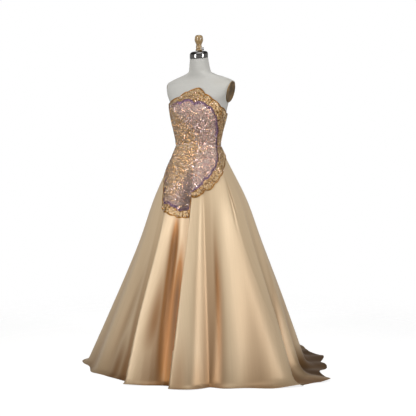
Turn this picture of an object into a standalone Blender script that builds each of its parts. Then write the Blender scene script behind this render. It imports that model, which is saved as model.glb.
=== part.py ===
"""Strapless A-line evening gown, worn by a limbless dress form that stands on its own round foot.

Metres, +Z up. The origin is on the floor under the form's pole, the gown's front faces -Y and
+X is the wearer's left. Angles run counter-clockwise seen from above, so -90 degrees is the front.
Every cloth piece is a closed wall between two grids of points that are worked out from the form's
sections, the skirt's flare and the table of folds.
"""

from typing import NamedTuple

import bpy
import numpy as np

# Driving heights and sizes.
WAIST_HEIGHT = 1.08
FORM_BOTTOM = 0.86
NECK_TOP = 1.512
SEAM_GAP = 0.0003
SKIRT_SLOPE = 0.400
SKIRT_LENGTH = WAIST_HEIGHT * np.hypot(1.0, SKIRT_SLOPE)

# Layers, measured outwards from the form's surface.
BODICE_INSIDE = 0.0028
BODICE_OUTSIDE = 0.0054
SKIRT_MIDDLE = 0.0036
SATIN_THICKNESS = 0.0015
LAYER_GAP = 0.0016
LACE_GAP = 0.0011
LACE_SEAM_GAP = 0.0012
OVERLAY_THICKNESS = 0.0010
LACE_THICKNESS = 0.0012

# Stand.
POLE_RADIUS = 0.016
FOOT_RADIUS = 0.19
FOOT_THICKNESS = 0.014
CAP_HEIGHT = 0.033
NECK_TILT = 0.16

# Zip at the centre back.
ZIP_BOTTOM = 0.93
ZIP_TAPE_WIDTH = 0.014
ZIP_TAPE_THICKNESS = 0.0010
SLIDER_HEIGHT = 1.198
RING_INSIDE = 0.0010
RING_OUTSIDE = 0.0019
RING_THICKNESS = 0.0012
PULL_LENGTH = 0.019
PULL_THICKNESS = 0.0010

CENTRE_BACK = 90.0


class Section(NamedTuple):
    """One level of the dress form."""

    height: float
    half_width: float
    half_depth: float
    centre_y: float
    squareness: float


FORM_SECTIONS = (
    Section(0.860, 0.148, 0.110, 0.006, 2.1),
    Section(0.900, 0.158, 0.119, 0.006, 2.1),
    Section(0.960, 0.152, 0.114, 0.002, 2.1),
    Section(1.020, 0.128, 0.098, -0.004, 2.1),
    Section(1.080, 0.1090, 0.0830, -0.009, 2.1),
    Section(1.140, 0.1175, 0.0925, -0.009, 2.1),
    Section(1.200, 0.1330, 0.1060, -0.008, 2.1),
    Section(1.245, 0.1430, 0.1120, -0.005, 2.1),
    Section(1.290, 0.1510, 0.1060, 0.003, 2.2),
    Section(1.330, 0.1700, 0.0940, 0.011, 2.5),
    Section(1.365, 0.1840, 0.0830, 0.018, 2.5),
    Section(1.390, 0.1850, 0.0670, 0.022, 2.4),
    Section(1.405, 0.1620, 0.0590, 0.021, 2.2),
    Section(1.420, 0.1220, 0.0550, 0.018, 2.0),
    Section(1.434, 0.0790, 0.0535, 0.014, 2.0),
    Section(1.447, 0.0560, 0.0525, 0.011, 2.0),
    Section(1.475, 0.0500, 0.0495, 0.006, 2.0),
    Section(1.512, 0.0450, 0.0450, 0.001, 2.0),
)

# The flat on which each arm plate sits: half width of the form there, leaning in as it goes down.
PLATE_HEIGHT = 1.343
PLATE_PLANE = 0.1650
PLATE_LEAN = 0.25
PLATE_HALF_HEIGHT = 0.052
PLATE_HALF_DEPTH = 0.040
PLATE_CENTRE_Y = 0.018
PLATE_THICKNESS = 0.004

BUST_ANGLE = 30.0
BUST_SPREAD = 17.0
BUST_HEIGHT = 1.232
BUST_REACH = 0.040
BUST_DEPTH = 0.010


class Notch(NamedTuple):
    """One notch of a scalloped edge, and how far the lobe counter-clockwise of it stands out."""

    angle: float
    height: float
    lobe: float


NECKLINE = (
    Notch(-175, 1.262, 0.006),
    Notch(-150, 1.290, 0.005),
    Notch(-120, 1.3145, 0.0085),
    Notch(-101, 1.3385, 0.004),
    Notch(-66, 1.357, 0.009),
    Notch(-48.5, 1.327, 0.005),
    Notch(-34.5, 1.305, 0.005),
    Notch(-16, 1.268, 0.005),
    Notch(8, 1.238, 0.006),
    Notch(32, 1.225, 0.006),
    Notch(58, 1.216, 0.006),
    Notch(90, 1.212, 0.006),
    Notch(115, 1.216, 0.006),
    Notch(140, 1.229, 0.006),
    Notch(163, 1.246, 0.006),
    Notch(185, 1.262, 0.006),
)

# Lower edge of the lace along the neckline, where the violet field begins.
FIELD_TOP = (
    Notch(-175, 1.250, 0.004),
    Notch(-152, 1.276, 0.005),
    Notch(-133, 1.284, 0.006),
    Notch(-109, 1.286, 0.014),
    Notch(-73, 1.286, 0.007),
    Notch(-44, 1.262, 0.009),
    Notch(-25, 1.218, 0.006),
    Notch(-12, 1.190, 0.0),
)

# Lower edge of the overlay. Its lobes stand down.
OVERLAY_EDGE = (
    Notch(-176, 1.050, 0.006),
    Notch(-158, 0.990, 0.007),
    Notch(-146, 0.950, 0.007),
    Notch(-135, 0.921, 0.006),
    Notch(-127, 0.896, 0.005),
    Notch(-119.5, 0.857, 0.004),
    Notch(-113.5, 0.806, 0.003),
    Notch(-111, 0.776, 0.006),
    Notch(-101, 0.759, 0.006),
    Notch(-90.5, 0.745, 0.007),
    Notch(-80.5, 0.738, 0.005),
    Notch(-71.5, 0.741, 0.0),
    Notch(-69, 0.836, 0.018),
    Notch(-53, 0.8695, 0.016),
    Notch(-38.5, 0.898, 0.007),
    Notch(-28, 0.9295, 0.008),
    Notch(-16.5, 0.967, 0.006),
    Notch(2, 1.003, 0.007),
    Notch(22, 1.036, 0.006),
    Notch(40, 1.055, 0.0),
)


class Band(NamedTuple):
    """Depth of the lace band over the overlay's edge, in one direction."""

    angle: float
    depth: float


LACE_BAND = (
    Band(-176, 0.022),
    Band(-134, 0.014),
    Band(-114, 0.012),
    Band(-111, 0.024),
    Band(-101, 0.042),
    Band(-93, 0.041),
    Band(-86, 0.033),
    Band(-76, 0.037),
    Band(-71.5, 0.042),
    Band(-69, 0.024),
    Band(-64.5, 0.037),
    Band(-51, 0.050),
    Band(-43, 0.058),
    Band(-31, 0.057),
    Band(-20.5, 0.078),
    Band(-13.5, 0.100),
    Band(-8, 0.110),
    Band(40, 0.110),
)


class Spread(NamedTuple):
    """In one direction: how much of the skirt lies on the floor, and how far its hem and its middle lean out."""

    angle: float
    on_floor: float
    hem_out: float
    middle_out: float


SKIRT_SPREAD = (
    Spread(-152, 0.024, 0.012, -0.007),
    Spread(-120, 0.020, 0.022, 0.000),
    Spread(-98, 0.015, 0.042, 0.000),
    Spread(-75, 0.012, 0.052, 0.000),
    Spread(-54, 0.012, 0.060, 0.000),
    Spread(-28, 0.050, 0.105, 0.005),
    Spread(-10, 0.150, 0.045, 0.013),
    Spread(6, 0.112, 0.004, 0.021),
    Spread(25, 0.098, 0.002, 0.022),
    Spread(45, 0.120, 0.000, 0.019),
    Spread(60, 0.128, 0.000, 0.008),
    Spread(75, 0.275, 0.010, 0.000),
    Spread(90, 0.435, 0.020, 0.000),
    Spread(104, 0.410, 0.020, 0.000),
    Spread(120, 0.294, 0.015, 0.000),
    Spread(140, 0.158, 0.010, 0.000),
    Spread(165, 0.081, 0.000, 0.000),
)


class Fold(NamedTuple):
    """One fold of the skirt: where its crest is at the hem, how far its two sides reach, its depth, the share
    of the way down where it starts, its lean in degrees, how full its counter-clockwise side is, and how many
    degrees its crest wanders on the way up."""

    angle: float
    clockwise: float
    counter: float
    depth: float
    start: float
    lean: float
    full: float
    wander: float


SKIRT_FOLDS = (
    Fold(-151, 14, 13, 0.030, 0.22, 0.0, 1.0, 0.0),
    Fold(-124, 13, 11, 0.024, 0.22, 0.0, 1.0, -8.0),
    Fold(-94.5, 6, 16, 0.066, 0.08, -2.0, 1.0, -14.0),
    Fold(-68.4, 6, 13, 0.058, 0.00, -4.4, 2.0, 5.0),
    Fold(-50, 5, 14, 0.030, 0.12, -1.5, 1.0, 14.0),
    Fold(-24, 13, 6, 0.056, 0.10, 2.5, 1.0, 26.0),
    Fold(-9, 8, 12, 0.052, 0.22, 0.0, 1.0, 28.0),
    Fold(14, 10, 11, 0.028, 0.26, 0.0, 1.0, 0.0),
    Fold(37, 11, 11, 0.032, 0.22, 0.0, 1.0, 0.0),
    Fold(61, 12, 12, 0.040, 0.24, 0.0, 1.0, 0.0),
    Fold(84, 11, 10, 0.046, 0.22, 0.0, 1.0, 0.0),
    Fold(105, 10, 11, 0.046, 0.24, 0.0, 1.0, 0.0),
    Fold(127, 11, 11, 0.044, 0.22, 0.0, 1.0, 0.0),
    Fold(149, 11, 11, 0.042, 0.26, 0.0, 1.0, 0.0),
    Fold(171, 11, 11, 0.038, 0.22, 0.0, 1.0, 0.0),
    Fold(191, 10, 10, 0.028, 0.26, 0.0, 1.0, 0.0),
)
FOLD_SINK = 0.024
FLOOR_LIE = 0.0012
FOLD_LIFT = 0.35
RIPPLES = 23
RIPPLE_HEIGHT = 0.006

# Rows of the skirt, as shares of the way from waist to hem, and how many columns go round it.
SKIRT_ROWS = (0.0, 0.075, 0.15, 0.25, 0.36, 0.48, 0.60, 0.71, 0.80, 0.875, 0.94, 1.0)
SKIRT_COLUMN_COUNT = 122

# Rows of the bodice, as shares of the way from waist to neckline, closer together over the bust.
BODICE_ROWS = (0.0, 0.16, 0.32, 0.44, 0.54, 0.63, 0.72, 0.81, 0.90, 1.0)
BODICE_STEP = 7.5

# Rows of the overlay, as shares of the way from the waist to its lace band.
OVERLAY_ROWS = (0.0, 0.2, 0.4, 0.6, 0.8, 1.0)


class Panel(NamedTuple):
    """One cut piece: its name and the angles of its two seams."""

    name: str
    start: float
    end: float


SKIRT_GORES = (
    Panel("skirt_front", -84, -22),
    Panel("skirt_side_front_left", -22, 33),
    Panel("skirt_back_left", 33, CENTRE_BACK),
    Panel("skirt_back_right", CENTRE_BACK, 147),
    Panel("skirt_side_back_right", 147, 202),
    Panel("skirt_side_front_right", 202, 276),
)

BODICE_PANELS = (
    Panel("bodice_front", -125, -55),
    Panel("bodice_side_left", -55, 15),
    Panel("bodice_back_left", 15, CENTRE_BACK),
    Panel("bodice_back_right", CENTRE_BACK, 165),
    Panel("bodice_side_right", 165, 235),
)

LACE_BACK_EDGE = 185.0
LACE_SIDE_EDGE = -12.0

# Colour, roughness and metallic value of each finish.
FINISHES = {
    "champagne_satin": ((0.66, 0.48, 0.30), 0.38, 0.0),
    "violet_glitter": ((0.40, 0.25, 0.27), 0.45, 0.2),
    "gold_lace": ((0.52, 0.31, 0.11), 0.40, 0.4),
    "form_linen": ((0.66, 0.65, 0.60), 0.90, 0.0),
    "turned_wood": ((0.50, 0.32, 0.15), 0.45, 0.0),
    "plate_bronze": ((0.20, 0.13, 0.07), 0.45, 0.5),
    "polished_metal": ((0.55, 0.55, 0.54), 0.15, 1.0),
    "stand_metal": ((0.10, 0.10, 0.10), 0.45, 0.8),
    "zip_tape": ((0.60, 0.42, 0.25), 0.70, 0.0),
}


def clear_scene():
    for thing in list(bpy.data.objects):
        bpy.data.objects.remove(thing, do_unlink=True)


def finish(name):
    """The Principled material of that name, made once."""
    found = bpy.data.materials.get(name)
    if found:
        return found
    colour, roughness, metallic = FINISHES[name]
    made = bpy.data.materials.new(name)
    made.use_nodes = True
    shader = made.node_tree.nodes["Principled BSDF"]
    shader.inputs["Base Color"].default_value = (*colour, 1.0)
    shader.inputs["Roughness"].default_value = roughness
    shader.inputs["Metallic"].default_value = metallic
    return made


def named(rows, field):
    """One named column of a table."""
    return np.array([getattr(row, field) for row in rows], float)


def curve(at, keys, values):
    """A smooth curve through a table that never overshoots it.

    The slope at a knot is the harmonic mean of the chords beside it, and zero where they differ in sign.
    """
    keys, values = np.asarray(keys, float), np.asarray(values, float)
    chords = np.diff(values) / np.diff(keys)
    slopes = np.concatenate([chords[:1], chords[:1], chords[1:]])[: len(values)]
    product = chords[1:] * chords[:-1]
    total = chords[1:] + chords[:-1]
    slopes[1:-1] = np.where(product > 0, 2 * product / np.where(total == 0, 1, total), 0)
    slopes[-1] = chords[-1]
    at = np.clip(at, keys[0], keys[-1])
    left = np.clip(np.searchsorted(keys, at, side="right") - 1, 0, len(keys) - 2)
    step = keys[left + 1] - keys[left]
    t = (at - keys[left]) / step
    return (
        (2 * t**3 - 3 * t**2 + 1) * values[left]
        + (t**3 - 2 * t**2 + t) * step * slopes[left]
        + (3 * t**2 - 2 * t**3) * values[left + 1]
        + (t**3 - t**2) * step * slopes[left + 1]
    )


def round_curve(angle, rows, field):
    """A table read round the body, with its first row again one turn on."""
    keys, values = named(rows, "angle"), named(rows, field)
    keys = np.concatenate([keys[-2:] - 360, keys, keys[:2] + 360])
    values = np.concatenate([values[-2:], values, values[:2]])
    return curve((angle - named(rows, "angle")[0]) % 360 + named(rows, "angle")[0], keys, values)


def scalloped(angle, rows, way=1.0):
    """Height of a scalloped edge: straight from notch to notch, plus a rounded lobe between them."""
    keys, heights, lobes = (named(rows, f) for f in ("angle", "height", "lobe"))
    turned = angle
    if keys[-1] - keys[0] >= 359:
        turned = (angle - keys[0]) % 360 + keys[0]
    turned = np.clip(turned, keys[0], keys[-1])
    left = np.clip(np.searchsorted(keys, turned, side="right") - 1, 0, len(keys) - 2)
    t = (turned - keys[left]) / (keys[left + 1] - keys[left])
    straight = heights[left] + (heights[left + 1] - heights[left]) * t
    return straight + way * lobes[left] * np.sin(np.pi * t) ** 0.7


def form_surface(angle, height):
    """Points of the dress form: a superellipse at each height, with a bust and flat arm holes."""
    turn = np.radians(angle)
    keys = named(FORM_SECTIONS, "height")
    wide, deep, centre, square = (
        curve(height, keys, named(FORM_SECTIONS, f))
        for f in ("half_width", "half_depth", "centre_y", "squareness")
    )
    reach = (np.abs(np.cos(turn) / wide) ** square + np.abs(np.sin(turn) / deep) ** square) ** (-1 / square)
    for side in (-90 - BUST_ANGLE, -90 + BUST_ANGLE):
        off = (angle - side + 180) % 360 - 180
        reach = reach + BUST_DEPTH * np.exp(
            -((off / BUST_SPREAD) ** 2) - ((height - BUST_HEIGHT) / BUST_REACH) ** 2
        )
    x = reach * np.cos(turn)
    limit = PLATE_PLANE + PLATE_LEAN * (height - PLATE_HEIGHT)
    x = np.clip(x, -limit, limit)
    y = centre + reach * np.sin(turn)
    tilt = NECK_TILT * np.clip((height - 1.45) / (NECK_TOP - 1.45), 0, 1)
    return np.stack([x, y, height + tilt * (y - centre)], axis=-1)


def normals(surface, angle, share):
    """Outward unit normals of surface(angle, share), from small steps along both."""
    around = surface(angle + 0.05, share) - surface(angle - 0.05, share)
    along = surface(angle, share + 0.0005) - surface(angle, share - 0.0005)
    made = np.cross(around, along)
    return made / np.linalg.norm(made, axis=-1, keepdims=True)


def form_offset(angle, height, out):
    return form_surface(angle, height) + out * normals(form_surface, angle, height)


def bumps(angle, share):
    """(outward move, turn in degrees, height of the crests from 0 to 1) that the folds give."""
    out, turn, crest = (np.zeros(np.broadcast(angle, share).shape) for _ in range(3))
    for fold in SKIRT_FOLDS:
        off = (angle - fold.angle - fold.wander * (1 - share) + 180) % 360 - 180
        reach = np.where(off < 0, fold.clockwise, fold.counter)
        across = np.minimum(np.abs(off) / reach, 1) ** np.where(off < 0, 1, fold.full)
        shape = np.cos(np.pi / 2 * across) ** 2
        grown = np.clip((share - fold.start) / (1 - fold.start), 0, 1)
        grown = grown ** (1.0 if fold.start == 0 else 1.35)
        out = out + fold.depth * shape * grown
        turn = turn + fold.lean * shape * np.minimum(1, 1.7 * grown)
        crest = crest + shape * grown
    return out - FOLD_SINK * np.clip(share, 0, 1) ** 1.5, turn, crest


def skirt_surface(angle, share):
    """Points of the skirt's cloth: a cone from the waist that turns smoothly onto the floor, with folds.

    The way down is measured along the cloth. Past the cone's foot the rest of it lies on the floor.
    """
    angle, share = np.broadcast_arrays(np.asarray(angle, float), np.asarray(share, float))
    on_floor = round_curve(angle, SKIRT_SPREAD, "on_floor")
    hem_out = round_curve(angle, SKIRT_SPREAD, "hem_out")
    middle_out = round_curve(angle, SKIRT_SPREAD, "middle_out")
    way = share * (SKIRT_LENGTH + on_floor)
    above = WAIST_HEIGHT * (1 - way / SKIRT_LENGTH)
    bend = 0.02 + 0.28 * np.minimum(on_floor, 0.25)
    risen = np.where(above > bend, above, np.where(above < -bend, 0, (above + bend) ** 2 / (4 * bend)))
    run = (risen - above) * SKIRT_LENGTH / WAIST_HEIGHT
    out, turn, crest = bumps(angle, share)
    hip = 0.012 * np.exp(-(((risen - 0.86) / 0.16) ** 2)) * (1 - risen / WAIST_HEIGHT) / 0.2
    waist = form_offset(angle, np.full(angle.shape, WAIST_HEIGHT), SKIRT_MIDDLE)
    radius = np.hypot(waist[..., 0], waist[..., 1]) + SKIRT_SLOPE * (WAIST_HEIGHT - risen)
    radius = radius + run + out + hip + hem_out * share**2 + middle_out * np.sin(np.pi * share)
    lying = np.clip(run / 0.06, 0, 1)
    ripple = RIPPLE_HEIGHT * (1 + np.sin(np.radians(angle * RIPPLES))) / 2
    lift = lying * (FOLD_LIFT * np.maximum(out, 0) + ripple * np.clip((share - 0.85) / 0.15, 0, 1))
    heading = np.radians(angle + turn)
    height = FLOOR_LIE + (1 - FLOOR_LIE / WAIST_HEIGHT) * risen + lift
    return np.stack([radius * np.cos(heading), radius * np.sin(heading), height], axis=-1)


def skirt_offset(angle, share, out):
    return skirt_surface(angle, share) - out * normals(skirt_surface, angle, share)


def share_at(angle, height):
    """How far down the skirt's cloth a height of its cone is."""
    on_floor = round_curve(angle, SKIRT_SPREAD, "on_floor")
    return (1 - height / WAIST_HEIGHT) * SKIRT_LENGTH / (SKIRT_LENGTH + on_floor)


def skirt_columns():
    """Angles round the skirt, spaced evenly along its folded hem and half evenly in angle."""
    fine = np.linspace(-180, 180, 3601)
    hem = skirt_surface(fine, 0.8)
    steps = np.linalg.norm(np.diff(hem, axis=0), axis=1)
    steps = steps / steps.sum() + 0.35 / len(steps)
    walked = np.concatenate([[0], np.cumsum(steps)])
    return np.interp(np.arange(SKIRT_COLUMN_COUNT) / SKIRT_COLUMN_COUNT * walked[-1], walked, fine)


def columns_between(columns, start, end):
    """The columns inside one panel, with its two seams as the first and last."""
    turned = np.sort((columns - start) % 360 + start)
    keep = turned[(turned > start + 0.8) & (turned < end - 0.8)]
    return np.concatenate([[start], keep, [end]])


def trimmed(grid, gap=SEAM_GAP):
    """A grid of points whose first and last columns stand half a seam gap inside the panel."""
    grid = grid.copy()
    for edge, inner in ((0, 1), (-1, -2)):
        along = grid[:, inner] - grid[:, edge]
        grid[:, edge] += gap / 2 * along / np.linalg.norm(along, axis=-1, keepdims=True)
    return grid


def levelled(grid, row, height):
    """A grid of points with one row brought to a height, so that it meets the waist seam squarely."""
    grid = grid.copy()
    grid[row, :, 2] = height
    return grid


def link(name, points, faces, material):
    """A mesh object in world coordinates, with its faces pointing out."""
    corners = points[faces]
    volume = np.einsum("ij,ij->i", corners[:, 0], np.cross(corners[:, 1], corners[:, 2])).sum()
    if volume < 0:
        faces = faces[:, ::-1]
    mesh = bpy.data.meshes.new(name)
    mesh.from_pydata(points.tolist(), [], faces.tolist())
    mesh.materials.append(finish(material))
    mesh.shade_smooth()
    mesh.set_sharp_from_angle(angle=np.radians(50))
    made = bpy.data.objects.new(name, mesh)
    bpy.context.scene.collection.objects.link(made)
    return made


def quads(a, b, c, d):
    """Two triangles for each quad a, b, c, d."""
    a, b, c, d = (np.ravel(x) for x in (a, b, c, d))
    return np.concatenate([np.stack([a, b, c], axis=1), np.stack([a, c, d], axis=1)])


def wall(name, outer, inner, material):
    """A closed wall between two grids of points: both skins and the rim along all four edges."""
    rows, cols = outer.shape[:2]
    skin = np.arange(rows * cols).reshape(rows, cols)
    back = skin + rows * cols
    faces = [
        quads(skin[:-1, :-1], skin[:-1, 1:], skin[1:, 1:], skin[1:, :-1]),
        quads(back[:-1, :-1], back[1:, :-1], back[1:, 1:], back[:-1, 1:]),
        quads(skin[0, 1:], skin[0, :-1], back[0, :-1], back[0, 1:]),
        quads(skin[-1, :-1], skin[-1, 1:], back[-1, 1:], back[-1, :-1]),
        quads(skin[:-1, 0], skin[1:, 0], back[1:, 0], back[:-1, 0]),
        quads(skin[:-1, -1], back[:-1, -1], back[1:, -1], skin[1:, -1]),
    ]
    points = np.concatenate([outer.reshape(-1, 3), inner.reshape(-1, 3)])
    return link(name, points, np.concatenate(faces), material)


def lofted(name, rings, material):
    """A closed solid through rings of points, with a flat fan over the first and the last ring."""
    count, cols = rings.shape[:2]
    skin = np.arange(count * cols).reshape(count, cols)
    nxt = np.roll(skin, -1, axis=1)
    first, last = count * cols, count * cols + 1
    ends = [
        np.stack([np.full(cols, first), nxt[0], skin[0]], axis=1),
        np.stack([np.full(cols, last), skin[-1], nxt[-1]], axis=1),
    ]
    faces = np.concatenate([quads(skin[:-1], nxt[:-1], nxt[1:], skin[1:]), *ends])
    points = np.concatenate([rings.reshape(-1, 3), rings[0].mean(0)[None], rings[-1].mean(0)[None]])
    return link(name, points, faces, material)


def turned(name, profile, sides, material, tilt=0.0):
    """A solid of revolution about the Z axis. Profile rows are (radius, height)."""
    turn = np.arange(sides) / sides * 2 * np.pi
    radius, height = (np.array(c)[:, None] for c in zip(*profile))
    x, y = radius * np.cos(turn), radius * np.sin(turn)
    return lofted(name, np.stack([x, y, height + tilt * y], axis=-1), material)


def bodice_columns():
    """Angles round the bodice, evenly spaced inside each panel, so that all its layers share them."""
    steps = [
        np.linspace(p.start, p.end, int(np.ceil((p.end - p.start) / BODICE_STEP)), endpoint=False)
        for p in BODICE_PANELS
    ]
    return np.concatenate(steps)


def grid_between(left, right, low, high, shares):
    """Angles and heights of a panel on the body: angle across, height from low to high."""
    angle = columns_between(bodice_columns(), left, right)[None, :]
    t = np.array(shares)[:, None]
    bottom, top = low(angle), high(angle)
    return np.broadcast_to(angle, (len(shares), angle.size)), bottom + (top - bottom) * t


def waist(angle):
    return np.full(np.shape(angle), WAIST_HEIGHT + SEAM_GAP / 2)


def neckline(angle):
    return scalloped(angle, NECKLINE)


def build_bodice():
    """Five boned panels from the waist seam to the neckline."""
    for panel in BODICE_PANELS:
        angle, height = grid_between(
            panel.start, panel.end, waist, lambda a: neckline(a) - 0.003, BODICE_ROWS
        )
        skins = (
            levelled(trimmed(form_offset(angle, height, out)), 0, WAIST_HEIGHT + SEAM_GAP / 2)
            for out in (BODICE_OUTSIDE, BODICE_INSIDE)
        )
        wall(panel.name, *skins, "violet_glitter")


def build_bodice_lace():
    """Gold lace over the bodice: a scalloped band at the neckline, the left side and the back."""
    inside = BODICE_OUTSIDE + LACE_GAP
    field_top = lambda a: scalloped(a, FIELD_TOP)
    pieces = (
        ("lace_neckline", -175, LACE_SIDE_EDGE, field_top, (0, 0.25, 0.5, 0.75, 1)),
        ("lace_side_left", LACE_SIDE_EDGE, CENTRE_BACK, waist, BODICE_ROWS),
        ("lace_back_right", CENTRE_BACK, LACE_BACK_EDGE, waist, BODICE_ROWS),
    )
    for name, start, end, low, rows in pieces:
        angle, height = grid_between(start, end, low, neckline, rows)
        skins = [
            trimmed(form_offset(angle, height, out), LACE_SEAM_GAP) for out in (inside + LACE_THICKNESS, inside)
        ]
        if low is waist:
            skins = [levelled(skin, 0, WAIST_HEIGHT + 0.001) for skin in skins]
        wall(name, *skins, "gold_lace")


def build_skirt(columns):
    """Six gores from the waist seam to the hem."""
    rows = np.array(SKIRT_ROWS)[:, None]
    rows = np.where(rows == 0, SEAM_GAP / 2 / SKIRT_LENGTH, rows)
    for gore in SKIRT_GORES:
        angle = columns_between(columns, gore.start, gore.end)[None, :]
        skins = (
            levelled(
                trimmed(skirt_offset(angle, rows, side * SATIN_THICKNESS / 2)),
                0,
                WAIST_HEIGHT - SEAM_GAP / 2,
            )
            for side in (1, -1)
        )
        wall(gore.name, *skins, "champagne_satin")


def build_overlay(columns):
    """The glitter panel over the hips, and the lace band along its scalloped lower edge."""
    start, end = OVERLAY_EDGE[0].angle, OVERLAY_EDGE[-1].angle
    angle = columns_between(columns, start, end)[None, :]
    edge = scalloped(angle, OVERLAY_EDGE, -1.0)
    depth = curve(angle, named(LACE_BAND, "angle"), named(LACE_BAND, "depth"))
    lace_top = np.minimum(edge + depth, WAIST_HEIGHT - 0.004)
    inside = SATIN_THICKNESS / 2 + LAYER_GAP
    lace_inside = inside + OVERLAY_THICKNESS + LACE_GAP
    waist_row = np.full(angle.shape, WAIST_HEIGHT - SEAM_GAP / 2)
    field = [waist_row + (lace_top - waist_row) * t for t in OVERLAY_ROWS]
    band = [lace_top, (lace_top + edge) / 2]
    for name, levels, inner, thick, material in (
        ("overlay", [*field, *band[1:], edge + 0.003], inside, OVERLAY_THICKNESS, "violet_glitter"),
        ("overlay_lace", [*band, edge], lace_inside, LACE_THICKNESS, "gold_lace"),
    ):
        share = share_at(angle, np.concatenate(levels))
        skins = [skirt_offset(angle, share, out) for out in (inner + thick, inner)]
        if name == "overlay":
            skins = [levelled(skin, 0, WAIST_HEIGHT - SEAM_GAP / 2) for skin in skins]
        wall(name, *skins, material)


def build_form():
    """The form's body with its neck, its metal cap, turned knob and two arm plates."""
    angle = np.linspace(0, 360, 36, endpoint=False)[None, :]
    extra = (1.11, 1.17, 1.222, 1.268, 1.31, 1.347, 1.38)
    height = np.sort(np.concatenate([named(FORM_SECTIONS, "height"), extra]))[:, None]
    lofted("form_body", form_surface(angle, height), "form_linen")
    base = NECK_TOP + SEAM_GAP
    cap = (
        (0.0445, base),
        (0.0450, base + 0.003),
        (0.0450, base + CAP_HEIGHT - 0.013),
        (0.0438, base + CAP_HEIGHT - 0.008),
        (0.0395, base + CAP_HEIGHT - 0.003),
        (0.0300, base + CAP_HEIGHT),
    )
    turned("form_neck_cap", cap, 28, "polished_metal", NECK_TILT)
    foot = base + CAP_HEIGHT + NECK_TILT * 0.017 + SEAM_GAP
    knob = (
        (0.0165, 0.000),
        (0.0165, 0.004),
        (0.0139, 0.009),
        (0.0138, 0.013),
        (0.0146, 0.018),
        (0.0140, 0.0225),
        (0.0129, 0.0275),
        (0.0145, 0.0335),
        (0.0180, 0.0415),
        (0.0206, 0.049),
        (0.0213, 0.053),
        (0.0202, 0.060),
        (0.0185, 0.069),
        (0.0155, 0.074),
        (0.0085, 0.077),
    )
    turned("form_knob", [(r, foot + h) for r, h in knob], 18, "turned_wood")
    for name, side in (("arm_plate_left", 1), ("arm_plate_right", -1)):
        build_arm_plate(name, side)


def build_arm_plate(name, side):
    """An oval plate on the flat of one arm hole, leaning with it."""
    turn = np.arange(24) / 24 * 2 * np.pi
    rings = []
    for grow, out in ((1.0, 0.0), (1.0, 0.6), (0.93, 1.0), (0.80, 0.7)):
        y = PLATE_CENTRE_Y + PLATE_HALF_DEPTH * grow * np.cos(turn)
        z = PLATE_HALF_HEIGHT * grow * np.sin(turn)
        x = PLATE_PLANE + PLATE_LEAN * z + SEAM_GAP + PLATE_THICKNESS * out
        rings.append(np.stack([side * x, y, PLATE_HEIGHT + z], axis=-1))
    lofted(name, np.array(rings), "plate_bronze")


def build_stand():
    """A plain pole and a slightly domed round foot, hidden by the skirt."""
    foot = (
        (FOOT_RADIUS, 0.0),
        (FOOT_RADIUS, FOOT_THICKNESS - 0.004),
        (FOOT_RADIUS - 0.006, FOOT_THICKNESS),
        (FOOT_RADIUS * 0.6, FOOT_THICKNESS + 0.012),
        (0.024, FOOT_THICKNESS + 0.020),
    )
    turned("stand_foot", foot, 36, "stand_metal")
    low, high = FOOT_THICKNESS + 0.020 + SEAM_GAP, FORM_BOTTOM - SEAM_GAP
    turned("stand_pole", ((POLE_RADIUS, low), (POLE_RADIUS, high)), 16, "stand_metal")


def back_surface_y(height):
    """How far back the form's surface is at the centre back."""
    return float(form_surface(np.array(CENTRE_BACK), np.array(height))[1])


def build_zip():
    """Concealed zip at the centre back: its tape inside the wall, and the slider with its pull outside."""
    half = ZIP_TAPE_WIDTH / 2
    across = np.linspace(-half, half, 3)[None, :]
    high = neckline(np.array(CENTRE_BACK)) - 0.006
    height = np.linspace(WAIST_HEIGHT, high, 8)[:, None]
    skins = []
    for out in (BODICE_INSIDE - 0.0005, BODICE_INSIDE - 0.0005 - ZIP_TAPE_THICKNESS):
        turn = CENTRE_BACK - np.degrees(across / form_surface(np.array(90.0), height)[..., 1])
        skins.append(form_offset(turn, np.broadcast_to(height, turn.shape), out))
    wall("zip_tape_bodice", *skins, "zip_tape")
    low = share_at(np.array(CENTRE_BACK), np.array(ZIP_BOTTOM))
    share = np.linspace(0.004, low, 5)[:, None]
    skins = []
    for out in (-SATIN_THICKNESS / 2 - 0.0005, -SATIN_THICKNESS / 2 - 0.0005 - ZIP_TAPE_THICKNESS):
        reach = np.linalg.norm(skirt_surface(np.array(90.0), share)[..., :2], axis=-1)
        turn = CENTRE_BACK - np.degrees(across / reach)
        skins.append(skirt_offset(turn, np.broadcast_to(share, turn.shape), out))
    wall("zip_tape_skirt", *skins, "zip_tape")
    build_slider()


def box_rings(half_width, y, middle, half_height, lean):
    """The two four-cornered rings of an upright box whose back and front lean, for a loft along Z."""
    rings = []
    for side in (-half_height, half_height):
        low, high = y[0] + lean * side, y[1] + lean * side
        corners = ((-half_width, low), (half_width, low), (half_width, high), (-half_width, high))
        rings.append([(a, b, middle + side) for a, b in corners])
    return np.array(rings)


def ring_plate(name, inner, outer, centre, plane, half_thick, material):
    """A flat plate with a hole, between two outlines of as many points in the XZ or YZ plane."""
    count = len(outer)
    at = {"xz": (0, 2, 1), "yz": (1, 2, 0)}[plane]
    grids = []
    for side in (-1, 1):
        for outline in (inner, outer):
            points = np.zeros((count, 3))
            points[:, at[0]], points[:, at[1]], points[:, at[2]] = *outline.T, side * half_thick
            grids.append(points + centre)
    low_in, low_out, high_in, high_out = (np.arange(count) + k * count for k in range(4))
    faces = np.concatenate([
        quads(a, np.roll(a, -1), np.roll(b, -1), b)
        for a, b in ((low_in, low_out), (low_out, high_out), (high_out, high_in), (high_in, low_in))
    ])
    return link(name, np.concatenate(grids), faces, material)


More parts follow.
